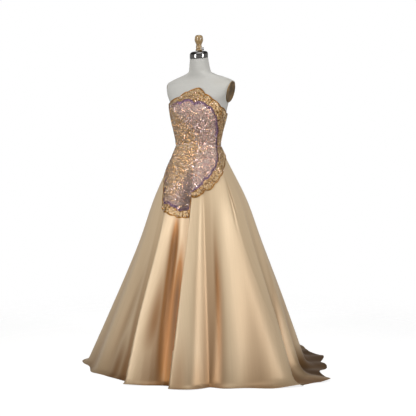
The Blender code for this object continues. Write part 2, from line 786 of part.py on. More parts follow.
def build_slider():
    """The zip's slider, with the ring that holds its pull, and the pull hanging through the ring."""
    surface = back_surface_y(SLIDER_HEIGHT) + BODICE_OUTSIDE + LACE_GAP + LACE_THICKNESS
    lean = (back_surface_y(SLIDER_HEIGHT + 0.004) - back_surface_y(SLIDER_HEIGHT - 0.004)) / 0.008
    low, high = surface + 0.0007, surface + 0.0025
    body = lofted(
        "zip_slider", box_rings(0.0022, (low, high), SLIDER_HEIGHT, 0.0042, lean), "polished_metal"
    )
    centre = np.array([0.0, high + RING_OUTSIDE - 0.0005, SLIDER_HEIGHT])
    turn = np.arange(20) / 20 * 2 * np.pi
    circle = np.stack([np.cos(turn), np.sin(turn)], axis=1)
    ring = ring_plate(
        "ring", RING_INSIDE * circle, RING_OUTSIDE * circle, centre, "yz", RING_THICKNESS / 2, "polished_metal"
    )
    join = body.modifiers.new("ring", "BOOLEAN")
    join.operation = "UNION"
    join.solver = "EXACT"
    join.object = ring
    ring.hide_render = True
    ring.display_type = "WIRE"
    hole_low, hole_high, hole_half = -0.0026, -0.0005, 0.00095
    wide = 0.0019
    hole = np.array(
        [(hole_half, hole_high), (-hole_half, hole_high), (-hole_half, hole_low), (hole_half, hole_low)]
    )
    tip = -PULL_LENGTH
    outline = np.array([(wide, 0.0005), (-wide, 0.0005), (-wide, -0.0031), (wide, -0.0031)])
    eye = ring_plate("zip_pull", hole, outline, centre, "xz", PULL_THICKNESS / 2, "polished_metal")
    drop = np.array([
        (wide * 0.8, -0.0029),
        (-wide * 0.8, -0.0029),
        (-0.0026, tip * 0.62),
        (-0.0022, tip * 0.88),
        (-0.0010, tip),
        (0.0010, tip),
        (0.0022, tip * 0.88),
        (0.0026, tip * 0.62),
    ])
    rings = np.array([
        np.stack([drop[:, 0], np.full(len(drop), side), drop[:, 1]], axis=1) + centre
        for side in (-PULL_THICKNESS / 2 + 0.0001, PULL_THICKNESS / 2 - 0.0001)
    ])
    tab = lofted("tab", rings, "polished_metal")
    tab.hide_render = True
    tab.display_type = "WIRE"
    join = eye.modifiers.new("tab", "BOOLEAN")
    join.operation = "UNION"
    join.solver = "EXACT"
    join.object = tab


def main():
    clear_scene()
    columns = skirt_columns()
    build_form()
    build_stand()
    build_bodice()
    build_bodice_lace()
    build_skirt(columns)
    build_overlay(columns)
    build_zip()


main()
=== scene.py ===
"""Looks of a strapless A-line evening gown on a limbless dress form, laid out as an add-on.

Angles run counter-clockwise seen from above and -90 degrees is the front. A point of the bodice is
(angle, height) on the form, and a point of the skirt is (angle, share of the way to the hem).
"""

import math
from typing import NamedTuple

import bmesh
import bpy
import numpy as np
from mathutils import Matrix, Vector


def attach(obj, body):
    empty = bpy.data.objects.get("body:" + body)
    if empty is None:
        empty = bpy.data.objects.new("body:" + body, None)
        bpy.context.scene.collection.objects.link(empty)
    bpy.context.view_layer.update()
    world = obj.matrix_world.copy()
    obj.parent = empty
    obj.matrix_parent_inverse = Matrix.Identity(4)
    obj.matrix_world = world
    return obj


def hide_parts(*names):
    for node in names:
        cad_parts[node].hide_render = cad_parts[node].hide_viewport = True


bl_info = {
    "name": "A-line evening gown",
    "version": (1, 0, 0),
    "blender": (4, 5, 0),
    "location": "3D View > Sidebar > Gown",
    "description": "Makes an evening gown with a beaded bodice, its dress form and a plain studio",
    "category": "Object",
}

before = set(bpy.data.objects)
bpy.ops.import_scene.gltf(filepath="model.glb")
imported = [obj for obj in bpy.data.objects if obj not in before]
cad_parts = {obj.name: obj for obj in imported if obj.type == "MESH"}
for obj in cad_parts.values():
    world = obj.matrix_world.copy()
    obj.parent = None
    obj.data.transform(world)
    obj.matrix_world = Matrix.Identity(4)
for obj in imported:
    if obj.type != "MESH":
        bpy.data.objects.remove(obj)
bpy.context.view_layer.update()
GOWN = "gown_on_form"

WAIST = 1.08
NECK_TOP = 1.512
BACK = 90.0
# The skirt's cone: how far it goes out for each metre down, and its length along the cloth.
SLOPE = 0.400
CONE = WAIST * math.hypot(1.0, SLOPE)
# How far the middle of each layer of cloth lies out from the form or the skirt, and how thick it is.
BODICE_MIDDLE = 0.0041
BODICE_WALL = 0.0024
SKIRT_MIDDLE = 0.0036
SATIN_WALL = 0.0011
OVERLAY_OUT = 0.0016
OVERLAY_WALL = 0.0010
LACE_WALL = 0.0011
LACE_ON_BODICE = BODICE_MIDDLE + BODICE_WALL / 2 + 0.0017
LACE_ON_SKIRT = OVERLAY_OUT + OVERLAY_WALL / 2 + 0.0016
# The gap between the solids, which the form's finished parts and the waist keep too, and the gaps at the
# seams of each finished cloth.
SEAM_GAP = 0.0003
SATIN_SEAM_GAP = 0.0001
BODICE_SEAM_GAP = 0.0004
LACE_SEAM_GAP = 0.0012
# How far the glitter cloth ends inside the lace's outer edge.
BODICE_SHORT = 0.003
# How far over the cloth's face the sequins lie.
SEQUIN_LIFT = 0.0003
# The least share of its flat rectangle that a piece's worked-out area is taken as. The
# least share of its flat rectangle that a declared sheet fills.
LEAST_SHARE = 0.301


class Section(NamedTuple):
    """One level of the dress form."""

    height: float
    half_width: float
    half_depth: float
    centre_y: float
    squareness: float


FORM_SECTIONS = (
    Section(0.860, 0.148, 0.110, 0.006, 2.1),
    Section(0.900, 0.158, 0.119, 0.006, 2.1),
    Section(0.960, 0.152, 0.114, 0.002, 2.1),
    Section(1.020, 0.128, 0.098, -0.004, 2.1),
    Section(1.080, 0.1090, 0.0830, -0.009, 2.1),
    Section(1.140, 0.1175, 0.0925, -0.009, 2.1),
    Section(1.200, 0.1330, 0.1060, -0.008, 2.1),
    Section(1.245, 0.1430, 0.1120, -0.005, 2.1),
    Section(1.290, 0.1510, 0.1060, 0.003, 2.2),
    Section(1.330, 0.1700, 0.0940, 0.011, 2.5),
    Section(1.365, 0.1840, 0.0830, 0.018, 2.5),
    Section(1.390, 0.1850, 0.0670, 0.022, 2.4),
    Section(1.405, 0.1620, 0.0590, 0.021, 2.2),
    Section(1.420, 0.1220, 0.0550, 0.018, 2.0),
    Section(1.434, 0.0790, 0.0535, 0.014, 2.0),
    Section(1.447, 0.0560, 0.0525, 0.011, 2.0),
    Section(1.475, 0.0500, 0.0495, 0.006, 2.0),
    Section(1.512, 0.0450, 0.0450, 0.001, 2.0),
)
BUST_ANGLES = (-120, -60)
BUST_HEIGHT = 1.232
BUST_OUT = 0.010
FORM_SEAMS = (-90, 90, -50, -130, 50, 130)
PLATE_HEIGHT = 1.343
PLATE_PLANE = 0.1650
PLATE_LEAN = 0.25
PLATE_MIDDLE = 0.018
PLATE_HALF_DEPTH = 0.040
PLATE_HALF_HEIGHT = 0.052
PLATE_OUT = 0.004
NECK_TILT = 0.16
NECK_FOOT = 1.45
# The solid cap's height, and how far back the knob's foot reaches. The foot clears the sloping cap there.
CAP_HEIGHT = 0.033
KNOB_REACH = 0.017
KNOB_FOOT = NECK_TOP + CAP_HEIGHT + 2 * SEAM_GAP + NECK_TILT * KNOB_REACH

# Half profiles of the turned parts: each point's radius, and its height above the part's foot.
CAP_PROFILE = (
    (0.0435, 0.0), (0.0448, 0.0008), (0.0452, 0.0025), (0.0452, 0.0190), (0.0449, 0.0215),
    (0.0440, 0.0242), (0.0422, 0.0270), (0.0393, 0.0298), (0.0350, 0.0320), (0.0295, 0.0333),
    (0.0180, 0.0338), (0.0040, 0.0338),
)
KNOB_PROFILE = (
    (0.0020, 0.0), (0.0160, 0.0), (0.0166, 0.0010), (0.0166, 0.0036), (0.0152, 0.0064),
    (0.0139, 0.0090), (0.0138, 0.0125), (0.0144, 0.0155), (0.0147, 0.0182), (0.0143, 0.0215),
    (0.0133, 0.0252), (0.0128, 0.0280), (0.0134, 0.0306), (0.0150, 0.0345), (0.0172, 0.0395),
    (0.0194, 0.0450), (0.0208, 0.0495), (0.0213, 0.0525), (0.0209, 0.0552), (0.0201, 0.0570),
    (0.0204, 0.0592), (0.0201, 0.0635), (0.0189, 0.0685), (0.0170, 0.0722), (0.0140, 0.0750),
    (0.0085, 0.0765), (0.0020, 0.0770),
)
SCREW_PROFILE = (
    (0.0010, 0.0010), (0.0038, 0.0016), (0.0044, 0.0060), (0.0038, 0.0130), (0.0030, 0.0160),
    (0.0008, 0.0170),
)
SCREW_PLACE = (0.0195, 0.0065)
# An arm plate's rings: each one's size, and how far out of the arm hole it stands, as shares of the whole.
PLATE_RINGS = (
    (1.0, 0.0), (1.0, 0.35), (0.992, 0.62), (0.972, 0.86), (0.93, 1.0),
    (0.88, 0.96), (0.80, 0.80), (0.55, 0.74), (0.28, 0.72), (0.02, 0.72),
)
# Painted shade in the knob's grooves: each one's height above the foot and half its width.
KNOB_GROOVE_SHADE = ((0.0095, 0.004), (0.0275, 0.004), (0.0560, 0.0022))


class Notch(NamedTuple):
    """One notch of a scalloped edge, and how far the lobe counter-clockwise of it stands out."""

    angle: float
    height: float
    lobe: float


NECKLINE = (
    Notch(-175, 1.262, 0.006),
    Notch(-150, 1.290, 0.005),
    Notch(-120, 1.3145, 0.0085),
    Notch(-101, 1.3385, 0.004),
    Notch(-66, 1.357, 0.009),
    Notch(-48.5, 1.327, 0.005),
    Notch(-34.5, 1.305, 0.005),
    Notch(-16, 1.268, 0.005),
    Notch(8, 1.238, 0.006),
    Notch(32, 1.225, 0.006),
    Notch(58, 1.216, 0.006),
    Notch(90, 1.212, 0.006),
    Notch(115, 1.216, 0.006),
    Notch(140, 1.229, 0.006),
    Notch(163, 1.246, 0.006),
    Notch(185, 1.262, 0.006),
)
FIELD_TOP = (
    Notch(-175, 1.248, 0.005),
    Notch(-149, 1.281, 0.0115),
    Notch(-112.5, 1.287, 0.020),
    Notch(-71, 1.281, 0.017),
    Notch(-40.5, 1.266, 0.0135),
    Notch(-26.5, 1.228, 0.013),
    Notch(-17, 1.184, 0.0),
)
OVERLAY_EDGE = (
    Notch(-176, 1.050, 0.006),
    Notch(-158, 0.990, 0.007),
    Notch(-146, 0.950, 0.007),
    Notch(-135, 0.921, 0.006),
    Notch(-127, 0.896, 0.005),
    Notch(-119.5, 0.857, 0.004),
    Notch(-113.5, 0.806, 0.003),
    Notch(-111, 0.776, 0.006),
    Notch(-101, 0.759, 0.006),
    Notch(-90.5, 0.745, 0.007),
    Notch(-80.5, 0.738, 0.005),
    Notch(-71.5, 0.741, 0.0),
    Notch(-69, 0.836, 0.018),
    Notch(-53, 0.8695, 0.016),
    Notch(-38.5, 0.898, 0.007),
    Notch(-28, 0.9295, 0.008),
    Notch(-16.5, 0.967, 0.006),
    Notch(2, 1.003, 0.007),
    Notch(22, 1.036, 0.006),
    Notch(40, 1.055, 0.0),
)


class Band(NamedTuple):
    """Depth of the lace band over the overlay's edge, in one direction."""

    angle: float
    depth: float


LACE_BAND = (
    Band(-176, 0.022),
    Band(-134, 0.014),
    Band(-114, 0.012),
    Band(-111, 0.024),
    Band(-101, 0.042),
    Band(-93, 0.041),
    Band(-86, 0.033),
    Band(-76, 0.037),
    Band(-71.5, 0.042),
    Band(-69, 0.024),
    Band(-64.5, 0.037),
    Band(-51, 0.050),
    Band(-43, 0.058),
    Band(-31, 0.057),
    Band(-20.5, 0.078),
    Band(-13.5, 0.100),
    Band(-8, 0.110),
    Band(40, 0.110),
)
# The upright edge between the glitter cloth and the lace of the left side: where its notches are.
SIDE_HEIGHTS = (1.020, 1.076, 1.128, 1.184)
SIDE_ANGLES = (-1.0, -6.0, -12.5, -17.0)
SIDE_ANGLE = SIDE_ANGLES[-1]


class Spread(NamedTuple):
    """In one direction: the length of cloth on the floor, and how far the hem and the middle lean out."""

    angle: float
    on_floor: float
    hem_out: float
    middle_out: float


SKIRT_SPREAD = (
    Spread(-152, 0.024, 0.012, -0.007),
    Spread(-120, 0.020, 0.022, 0.000),
    Spread(-98, 0.015, 0.042, 0.000),
    Spread(-75, 0.012, 0.052, 0.000),
    Spread(-54, 0.012, 0.060, 0.000),
    Spread(-28, 0.050, 0.105, 0.005),
    Spread(-10, 0.150, 0.045, 0.013),
    Spread(6, 0.112, 0.004, 0.021),
    Spread(25, 0.098, 0.002, 0.022),
    Spread(45, 0.120, 0.000, 0.019),
    Spread(60, 0.128, 0.000, 0.008),
    Spread(75, 0.275, 0.010, 0.000),
    Spread(90, 0.435, 0.020, 0.000),
    Spread(104, 0.410, 0.020, 0.000),
    Spread(120, 0.294, 0.015, 0.000),
    Spread(140, 0.158, 0.010, 0.000),
    Spread(165, 0.081, 0.000, 0.000),
)


class Fold(NamedTuple):
    """One fold of the skirt: where its crest is at the hem, how far its two sides reach, its depth, the share
    of the way down where it starts, its lean in degrees, how sharp its crest is to either side, how full
    its counter-clockwise side is, and how many degrees its crest wanders on the way up."""

    angle: float
    clockwise: float
    counter: float
    depth: float
    start: float
    lean: float
    sharp_clockwise: float
    sharp_counter: float
    full: float
    wander: float


SKIRT_FOLDS = (
    Fold(-151, 14, 13, 0.030, 0.22, 0.0, 0.2, 0.2, 1.0, 0.0),
    Fold(-124, 13, 11, 0.024, 0.22, 0.0, 0.3, 0.2, 1.0, -8.0),
    Fold(-93.1, 4, 15, 0.064, 0.08, -2.0, 0.9, 0.6, 1.0, -14.5),
    Fold(-69.6, 4, 13, 0.056, 0.00, -4.8, 0.9, 0.0, 5.0, 1.5),
    Fold(-50, 7, 15, 0.019, 0.12, -1.0, 0.1, 0.0, 1.0, 14.0),
    Fold(-24, 20, 5, 0.052, 0.10, 2.5, 0.2, 0.9, 1.0, 26.0),
    Fold(-9, 8, 12, 0.052, 0.22, 0.0, 0.2, 0.3, 1.0, 28.0),
    Fold(14, 11, 12, 0.024, 0.26, 0.0, 0.0, 0.0, 1.0, 0.0),
    Fold(37, 12, 12, 0.028, 0.22, 0.0, 0.0, 0.0, 1.0, 0.0),
    Fold(61, 12, 12, 0.040, 0.24, 0.0, 0.4, 0.4, 1.0, 0.0),
    Fold(84, 11, 10, 0.046, 0.22, 0.0, 0.5, 0.5, 1.0, 0.0),
    Fold(105, 10, 11, 0.046, 0.24, 0.0, 0.4, 0.4, 1.0, 0.0),
    Fold(127, 11, 11, 0.044, 0.22, 0.0, 0.4, 0.4, 1.0, 0.0),
    Fold(149, 11, 11, 0.042, 0.26, 0.0, 0.3, 0.3, 1.0, 0.0),
    Fold(171, 11, 11, 0.038, 0.22, 0.0, 0.3, 0.3, 1.0, 0.0),
    Fold(191, 10, 10, 0.028, 0.26, 0.0, 0.2, 0.2, 1.0, 0.0),
)


class Crease(NamedTuple):
    """One narrow trough of the cloth: its angle at the hem, how many degrees it wanders on the way up, its
    width in degrees, its depth, the shares where it starts, is deepest and ends, and its painted shade: a
    warm painted shade up to 1, and a darker painted shade above that."""

    angle: float
    wander: float
    width: float
    depth: float
    start: float
    deepest: float
    end: float
    shade: float


# The creases carry painted shade; those with no depth only paint shade onto the satin.
CREASES = (
    Crease(-80.0, -10.0, 4.4, 0.006, 0.20, 0.45, 1.60, 1.65),
    Crease(-75.8, -3.5, 3.8, 0.001, 0.30, 0.66, 1.60, 1.75),
    Crease(-52.0, 9.5, 3.2, 0.002, 0.22, 0.60, 1.50, 0.95),
    Crease(-58.5, 0.0, 2.2, 0.000, 0.30, 0.60, 1.60, 0.25),
    Crease(-14.0, 0.0, 6.0, 0.000, 0.84, 0.98, 1.60, 0.80),
    Crease(-39.0, 17.0, 7.0, 0.002, 0.30, 0.75, 1.60, 0.24),
    Crease(-22.0, 52.0, 3.0, 0.005, 0.35, 0.80, 1.15, 0.55),
    Crease(-119.0, 12.0, 5.0, 0.008, 0.40, 0.75, 1.30, 0.40),
    Crease(-103.0, -2.0, 4.0, 0.003, 0.72, 0.95, 1.50, 0.85),
    Crease(-110.0, 2.0, 4.5, 0.003, 0.74, 0.96, 1.50, 0.80),
    Crease(-87.0, -5.5, 3.8, 0.002, 0.40, 0.74, 0.97, 0.85),
    Crease(-58.6, 0.0, 2.2, 0.002, 0.72, 0.98, 1.60, 0.45),
    Crease(-65.5, 0.0, 3.4, 0.001, 0.72, 0.97, 1.60, 0.50),
    Crease(-20.0, 2.0, 1.2, 0.003, 0.10, 0.20, 0.34, 0.45),
    Crease(-31.0, 12.0, 1.2, 0.002, 0.12, 0.24, 0.40, 0.25),
    Crease(25.0, 8.0, 3.0, 0.006, 0.25, 0.70, 1.40, 0.40),
    Crease(49.0, -5.0, 3.0, 0.006, 0.20, 0.80, 1.50, 0.40),
    Crease(95.0, 0.0, 3.5, 0.008, 0.25, 0.80, 1.60, 0.50),
    Crease(116.0, -6.0, 3.0, 0.006, 0.20, 0.75, 1.50, 0.40),
    Crease(138.0, 7.0, 3.0, 0.006, 0.25, 0.75, 1.50, 0.40),
    Crease(160.0, 5.0, 3.0, 0.006, 0.30, 0.75, 1.50, 0.40),
    Crease(198.0, -6.0, 3.5, 0.005, 0.30, 0.80, 1.50, 0.35),
)
# How far the hem's troughs sink, how high the cloth lies on the floor, the share of a fold's depth by which
# it lifts off the floor, and the train's small waves: how many go round, how high they are, how far down the
# cloth they start, and over what share of it they grow.
FOLD_SINK = 0.024
FLOOR_LIE = 0.0012
FOLD_LIFT = 0.35
RIPPLES = 23
RIPPLE_HEIGHT = 0.006
RIPPLE_START = 0.85
RIPPLE_OVER = 0.15
# Over how many metres on the floor the folds' lift and the small waves come in.
LIE_OVER = 0.06
# The round of the hips: its outward move at that share of the way down from the waist, its height, and the
# height over which it fades.
HIP_OUT = 0.012
HIP_SHARE = 0.2
HIP_HEIGHT = 0.86
HIP_REACH = 0.16
# A sharp crest's tip is rounded over this share of its side, and its sides fall off with this power.
CREST_ROUND = 0.04
CREST_POWER = 1.8
# The bodice's radius where an angle in front becomes metres, and the radii that the nets over the bodice and
# the hips take.
FRONT_RADIUS = 0.118
BODICE_RADIUS = 0.125
WAIST_RADIUS = 0.105
# The direction that the hips' net is centred on, and how far apart the rows of every net are, as a share of
# the step along them.
NET_MIDDLE = -68
NET_ROW = 0.866


class Panel(NamedTuple):
    """One cut piece: its name and the angles of its two seams."""

    name: str
    start: float
    end: float


SKIRT_GORES = (
    Panel("skirt_front", -84, -22),
    Panel("skirt_side_front_left", -22, 33),
    Panel("skirt_back_left", 33, BACK),
    Panel("skirt_back_right", BACK, 147),
    Panel("skirt_side_back_right", 147, 202),
    Panel("skirt_side_front_right", 202, 276),
)
BODICE_PANELS = (
    Panel("bodice_front", -125, -55),
    Panel("bodice_side_left", -55, 15),
    Panel("bodice_back_left", 15, BACK),
    Panel("bodice_back_right", BACK, 165),
    Panel("bodice_side_right", 165, 235),
)


def colour_property(label, words, value):
    return bpy.props.FloatVectorProperty(
        name=label, description=words, default=value, subtype="COLOR", size=3, min=0.0, max=1.0
    )


def length_property(label, words, value):
    return bpy.props.FloatProperty(
        name=label, description=words, default=value, min=0.0, subtype="DISTANCE", unit="LENGTH"
    )


def power_property(label, words, value):
    return bpy.props.FloatProperty(name=label, description=words, default=value, min=0.0, unit="POWER")


def angle_property(label, words, degrees):
    return bpy.props.FloatProperty(
        name=label, description=words, default=math.radians(degrees), subtype="ANGLE", unit="ROTATION"
    )


class GownColours(bpy.types.PropertyGroup):
    """Colours of the gown's cloths and trims."""

    satin: colour_property("Satin", "Champagne satin of the skirt", (0.635, 0.482, 0.308))
    # Painted shade: the warm tone that the satin takes deep in its folds and creases.
    satin_depth: colour_property("Satin depth", "Warm tone deep in a fold", (0.27, 0.115, 0.032))
    # Painted shade of the train and of the hem near the floor.
    satin_floor: colour_property("Satin at the floor", "Shaded tone of the train", (0.180, 0.085, 0.018))
    mauve: colour_property("Mauve", "Ground of the glitter cloth", (0.60, 0.385, 0.33))
    bronze: colour_property("Bronze", "Warm part of the glitter cloth", (0.66, 0.38, 0.16))
    violet: colour_property("Violet line", "Embroidered line round the glitter cloth", (0.26, 0.145, 0.25))
    lace: colour_property("Lace gold", "Gold thread of the lace", (0.50, 0.26, 0.08))
    petal: colour_property("Lace petals", "Thread of the raised flowers and leaves", (0.86, 0.62, 0.35))
    lace_ground: colour_property("Lace ground", "Brown net under the gold thread", (0.07, 0.034, 0.014))
    cord: colour_property("Edge cord", "Orange-gold cord along the scallops", (0.50, 0.22, 0.035))
    crystal: colour_property("Crystal", "Pale pink stones", (0.90, 0.78, 0.76))


class FormColours(bpy.types.PropertyGroup):
    """Colours of the dress form."""

    linen: colour_property("Linen", "Cover of the form", (0.500, 0.492, 0.462))
    wood: colour_property("Wood", "Turned knob on the neck", (0.40, 0.265, 0.12))
    plate: colour_property("Arm plate", "Bronze-brown oval plates", (0.17, 0.105, 0.045))
    stand: colour_property("Stand", "Pole and foot", (0.03, 0.03, 0.03))


class GownSizes(bpy.types.PropertyGroup):
    """Sizes of the gown's trims."""

    glitter_cell: length_property("Glitter cell", "Size of one fleck of the glitter cloth", 0.0026)
    sequin: length_property("Sequin", "Radius of a sequin", 0.0016)
    crystal: length_property("Crystal", "Radius of a large stone", 0.0019)
    bead: length_property("Bead", "Radius of a gold bead", 0.0013)
    cord: length_property("Cord", "Radius of the cord along the scallops", 0.0018)
    petal: length_property("Petal", "Length of a lace petal", 0.0125)
    hem: length_property("Hem", "Depth of the turned hem", 0.018)


class StageLook(bpy.types.PropertyGroup):
    """Light and view of the studio."""

    key: power_property("Right light", "Power of the softbox on the right", 14.0)
    fill: power_property("Left light", "Power of the softbox on the left", 14.5)
    top: power_property("Top light", "Power of the overhead light", 12.0)
    room: bpy.props.FloatProperty(
        name="Room light", description="Strength of the light from all round", default=0.45, min=0.0
    )
    azimuth: angle_property("Camera azimuth", "How far the camera stands round to the wearer's left", 28.0)
    distance: length_property("Camera distance", "From the form's pole to the camera", 5.0)
    camera_height: length_property("Camera height", "Above the floor", 1.05)
    focal: bpy.props.FloatProperty(name="Focal length", description="In millimetres", default=87.0, min=1.0)
    pitch: angle_property("Camera pitch", "How far the camera looks down", 3.2)


class Flow:
    """A socket's value in a sum: each operator on it adds the Math node that works it out."""

    def __init__(self, recipe, socket):
        self.recipe = recipe
        self.socket = socket

    def by(self, operation, *others):
        return self.recipe.math(operation, self, *others)

    def __add__(self, other):
        return self.by("ADD", other)

    __radd__ = __add__

    def __sub__(self, other):
        return self.by("SUBTRACT", other)

    def __rsub__(self, other):
        return self.recipe.math("SUBTRACT", other, self)

    def __mul__(self, other):
        return self.by("MULTIPLY", other)

    __rmul__ = __mul__

    def clamped(self):
        return self.by("MAXIMUM", 0.0).by("MINIMUM", 1.0)

    def over(self, low, high):
        """A smooth step from 0 at low to 1 at high."""
        values = {"Value": self, "From Min": low, "From Max": high}
        return self.recipe.add("ShaderNodeMapRange", {"interpolation_type": "SMOOTHSTEP"}, values)

    def output(self, label):
        """Another output of the same node."""
        return Flow(self.recipe, self.socket.node.outputs[label])


class Nodes:
    """The nodes of a material or of the room: one method adds any kind, the others name the usual ones."""

    def __init__(self, tree, shader):
        self.tree = tree
        self.shader = tree.nodes[shader]

    def feed(self, label, value, node=None):
        """Links or sets one socket of a node, or of the main shader."""
        socket = (node or self.shader).inputs[label]
        if isinstance(value, Flow):
            self.tree.links.new(value.socket, socket)
        elif value is not None:
            if socket.type == "RGBA" and len(value) == 3:
                value = (*value, 1.0)
            socket.default_value = value

    def add(self, kind, ways=None, values=None, output=0):
        """A new node of a kind, with its settings, then its sockets' values or links."""
        node = self.tree.nodes.new(kind)
        for label, value in (ways or {}).items():
            setattr(node, label, value)
        for label, value in (values or {}).items():
            self.feed(label, value, node)
        return Flow(self, node.outputs[output])

    def surface(self, factor, first, second, last):
        """Ends the nodes in a Mix Shader of two shaders, by a factor."""
        both = self.add("ShaderNodeMixShader", None, {0: factor, 1: first, 2: second})
        self.feed("Surface", both, self.tree.nodes[last])

    def math(self, operation, *values):
        return self.add("ShaderNodeMath", {"operation": operation}, dict(enumerate(values)))

    def vector(self, operation, *values):
        return self.add("ShaderNodeVectorMath", {"operation": operation}, dict(enumerate(values)))

    def mix(self, first, second, factor):
        """One colour turned into another by a factor."""
        return self.add("ShaderNodeMix", {"data_type": "RGBA"}, {0: factor, 6: first, 7: second}, 2)

    def place(self, kind="Object"):
        return self.add("ShaderNodeTexCoord", output=kind)

    def stretched(self, source, scale):
        return self.add("ShaderNodeMapping", None, {"Vector": source, "Scale": scale})

    def attribute(self, name):
        return self.add("ShaderNodeAttribute", {"attribute_name": name}, output="Fac")

    def noise(self, source, scale, detail=2.0, roughness=0.5):
        values = {"Vector": source, "Scale": scale, "Detail": detail, "Roughness": roughness}
        return self.add("ShaderNodeTexNoise", None, values)

    def bump(self, height, distance, strength=1.0, under=None):
        values = {"Height": height, "Distance": distance, "Strength": strength, "Normal": under}
        return self.add("ShaderNodeBump", None, values)


class Recipe(Nodes):
    """One material, started from its Principled shader's colour, roughness and constant values."""

    def __init__(self, name, colour, roughness, **constants):
        self.material = bpy.data.materials.new(name)
        self.material.use_nodes = True
        super().__init__(self.material.node_tree, "Principled BSDF")
        self.feed("Base Color", colour)
        self.feed("Roughness", roughness)
        for label, value in constants.items():
            self.feed(label.replace("_", " ").title(), value)


def dimmed(colour, share):
    """A colour made darker, or lighter by a share above 1, and never past white."""
    return tuple(min(1.0, c * share) for c in colour)


def named(rows, field):
    """One named column of a table."""
    return np.array([getattr(row, field) for row in rows], float)


def curve(at, keys, values):
    """A smooth curve through a table that never overshoots: cubic pieces whose slope at each knot is the
    harmonic mean of the chords beside it, and zero where they differ in sign."""
    keys, values = np.asarray(keys, float), np.asarray(values, float)
    chords = np.diff(values) / np.diff(keys)
    slopes = np.concatenate([chords[:1], chords[:1], chords[1:]])[: len(values)]
    product = chords[1:] * chords[:-1]
    total = chords[1:] + chords[:-1]
    slopes[1:-1] = np.where(product > 0, 2 * product / np.where(total == 0, 1, total), 0)
    slopes[-1] = chords[-1]
    at = np.clip(at, keys[0], keys[-1])
    left = np.clip(np.searchsorted(keys, at, side="right") - 1, 0, len(keys) - 2)
    step = keys[left + 1] - keys[left]
    t = (at - keys[left]) / step
    return (
        (2 * t**3 - 3 * t**2 + 1) * values[left]
        + (t**3 - 2 * t**2 + t) * step * slopes[left]
        + (3 * t**2 - 2 * t**3) * values[left + 1]
        + (t**3 - t**2) * step * slopes[left + 1]
    )


def round_curve(angle, rows, field):
    """A table read round the body, with its first rows again one turn on."""
    keys, values = named(rows, "angle"), named(rows, field)
    keys = np.concatenate([keys[-2:] - 360, keys, keys[:2] + 360])
    values = np.concatenate([values[-2:], values, values[:2]])
    first = rows[0].angle
    return curve((angle - first) % 360 + first, keys, values)


def scalloped(angle, rows, way=1.0):
    """Height of a scalloped edge: straight from notch to notch, plus lobe * sin(pi t)^0.7 between them."""
    keys, heights, lobes = (named(rows, f) for f in ("angle", "height", "lobe"))
    turned = angle
    if keys[-1] - keys[0] >= 359:
        turned = (angle - keys[0]) % 360 + keys[0]
    turned = np.clip(turned, keys[0], keys[-1])
    left = np.clip(np.searchsorted(keys, turned, side="right") - 1, 0, len(keys) - 2)
    t = (turned - keys[left]) / (keys[left + 1] - keys[left])
    straight = heights[left] + (heights[left + 1] - heights[left]) * t
    return straight + way * lobes[left] * np.sin(np.pi * t) ** 0.7


def wrapped(angle):
    """An angle brought to between -180 and 180 degrees."""
    return (angle + 180) % 360 - 180


def form_surface(angle, height):
    """Points of the dress form: at each height a superellipse |x/w|^n + |y/d|^n = 1, with two soft mounds
    for the bust and a flat, leaning cut at each arm hole."""
    turn = np.radians(angle)
    keys = named(FORM_SECTIONS, "height")
    wide, deep, centre, square = (
        curve(height, keys, named(FORM_SECTIONS, f))
        for f in ("half_width", "half_depth", "centre_y", "squareness")
    )
    reach = (np.abs(np.cos(turn) / wide) ** square + np.abs(np.sin(turn) / deep) ** square) ** (-1 / square)
    for side in BUST_ANGLES:
        off = wrapped(angle - side)
        reach = reach + BUST_OUT * np.exp(-((off / 17.0) ** 2) - ((height - BUST_HEIGHT) / 0.040) ** 2)
    limit = PLATE_PLANE + PLATE_LEAN * (height - PLATE_HEIGHT)
    x = np.clip(reach * np.cos(turn), -limit, limit)
    y = centre + reach * np.sin(turn)
    tilt = NECK_TILT * np.clip((height - NECK_FOOT) / (NECK_TOP - NECK_FOOT), 0, 1)
    return np.stack(np.broadcast_arrays(x, y, height + tilt * (y - centre)), axis=-1)


def bumps(angle, share):
    """(outward move, turn in degrees) of the folds and creases. A fold is a squared cosine of t, the share of
    the way from its crest to its side's end, or with a sharp crest (1 - sqrt(t^2 + r^2) + r t)^p. It grows
    on the way down from where it starts, and leans sideways with its height. A crease goes inwards, and all
    of the cloth sinks in a little towards the hem."""
    out, turn = (np.zeros(np.broadcast(angle, share).shape) for _ in range(2))
    for fold in SKIRT_FOLDS:
        off = wrapped(angle - fold.angle - fold.wander * (1 - share))
        reach = np.where(off < 0, fold.clockwise, fold.counter)
        t = np.minimum(np.abs(off) / reach, 1) ** np.where(off < 0, 1, fold.full)
        soft = np.cos(np.pi / 2 * t) ** 2
        sharp = np.where(off < 0, fold.sharp_clockwise, fold.sharp_counter)
        peak = (1 - np.sqrt(t**2 + CREST_ROUND**2) + CREST_ROUND * t) ** CREST_POWER
        shape = soft + sharp * (peak - soft)
        grown = np.clip((share - fold.start) / (1 - fold.start), 0, 1)
        grown = grown ** (1.0 if fold.start == 0 else 1.35)
        out = out + fold.depth * shape * grown
        turn = turn + fold.lean * shape * np.minimum(1, 1.7 * grown)
    for crease, trough in troughs(angle, share):
        out = out - crease.depth * trough
    return out - FOLD_SINK * np.clip(share, 0, 1) ** 1.5, turn


def troughs(angle, share):
    """Each crease with its strength from 0 to 1: a Gaussian across it, times a smooth rise from its start to
    where it is deepest and a smooth fall from there to its end."""
    for crease in CREASES:
        off = wrapped(angle - crease.angle - crease.wander * (1 - share))
        rise = np.clip((share - crease.start) / (crease.deepest - crease.start), 0, 1)
        fall = np.clip((crease.end - share) / (crease.end - crease.deepest), 0, 1)
        along = np.minimum(rise, fall)
        yield crease, np.exp(-((off / crease.width) ** 2)) * along * along * (3 - 2 * along)


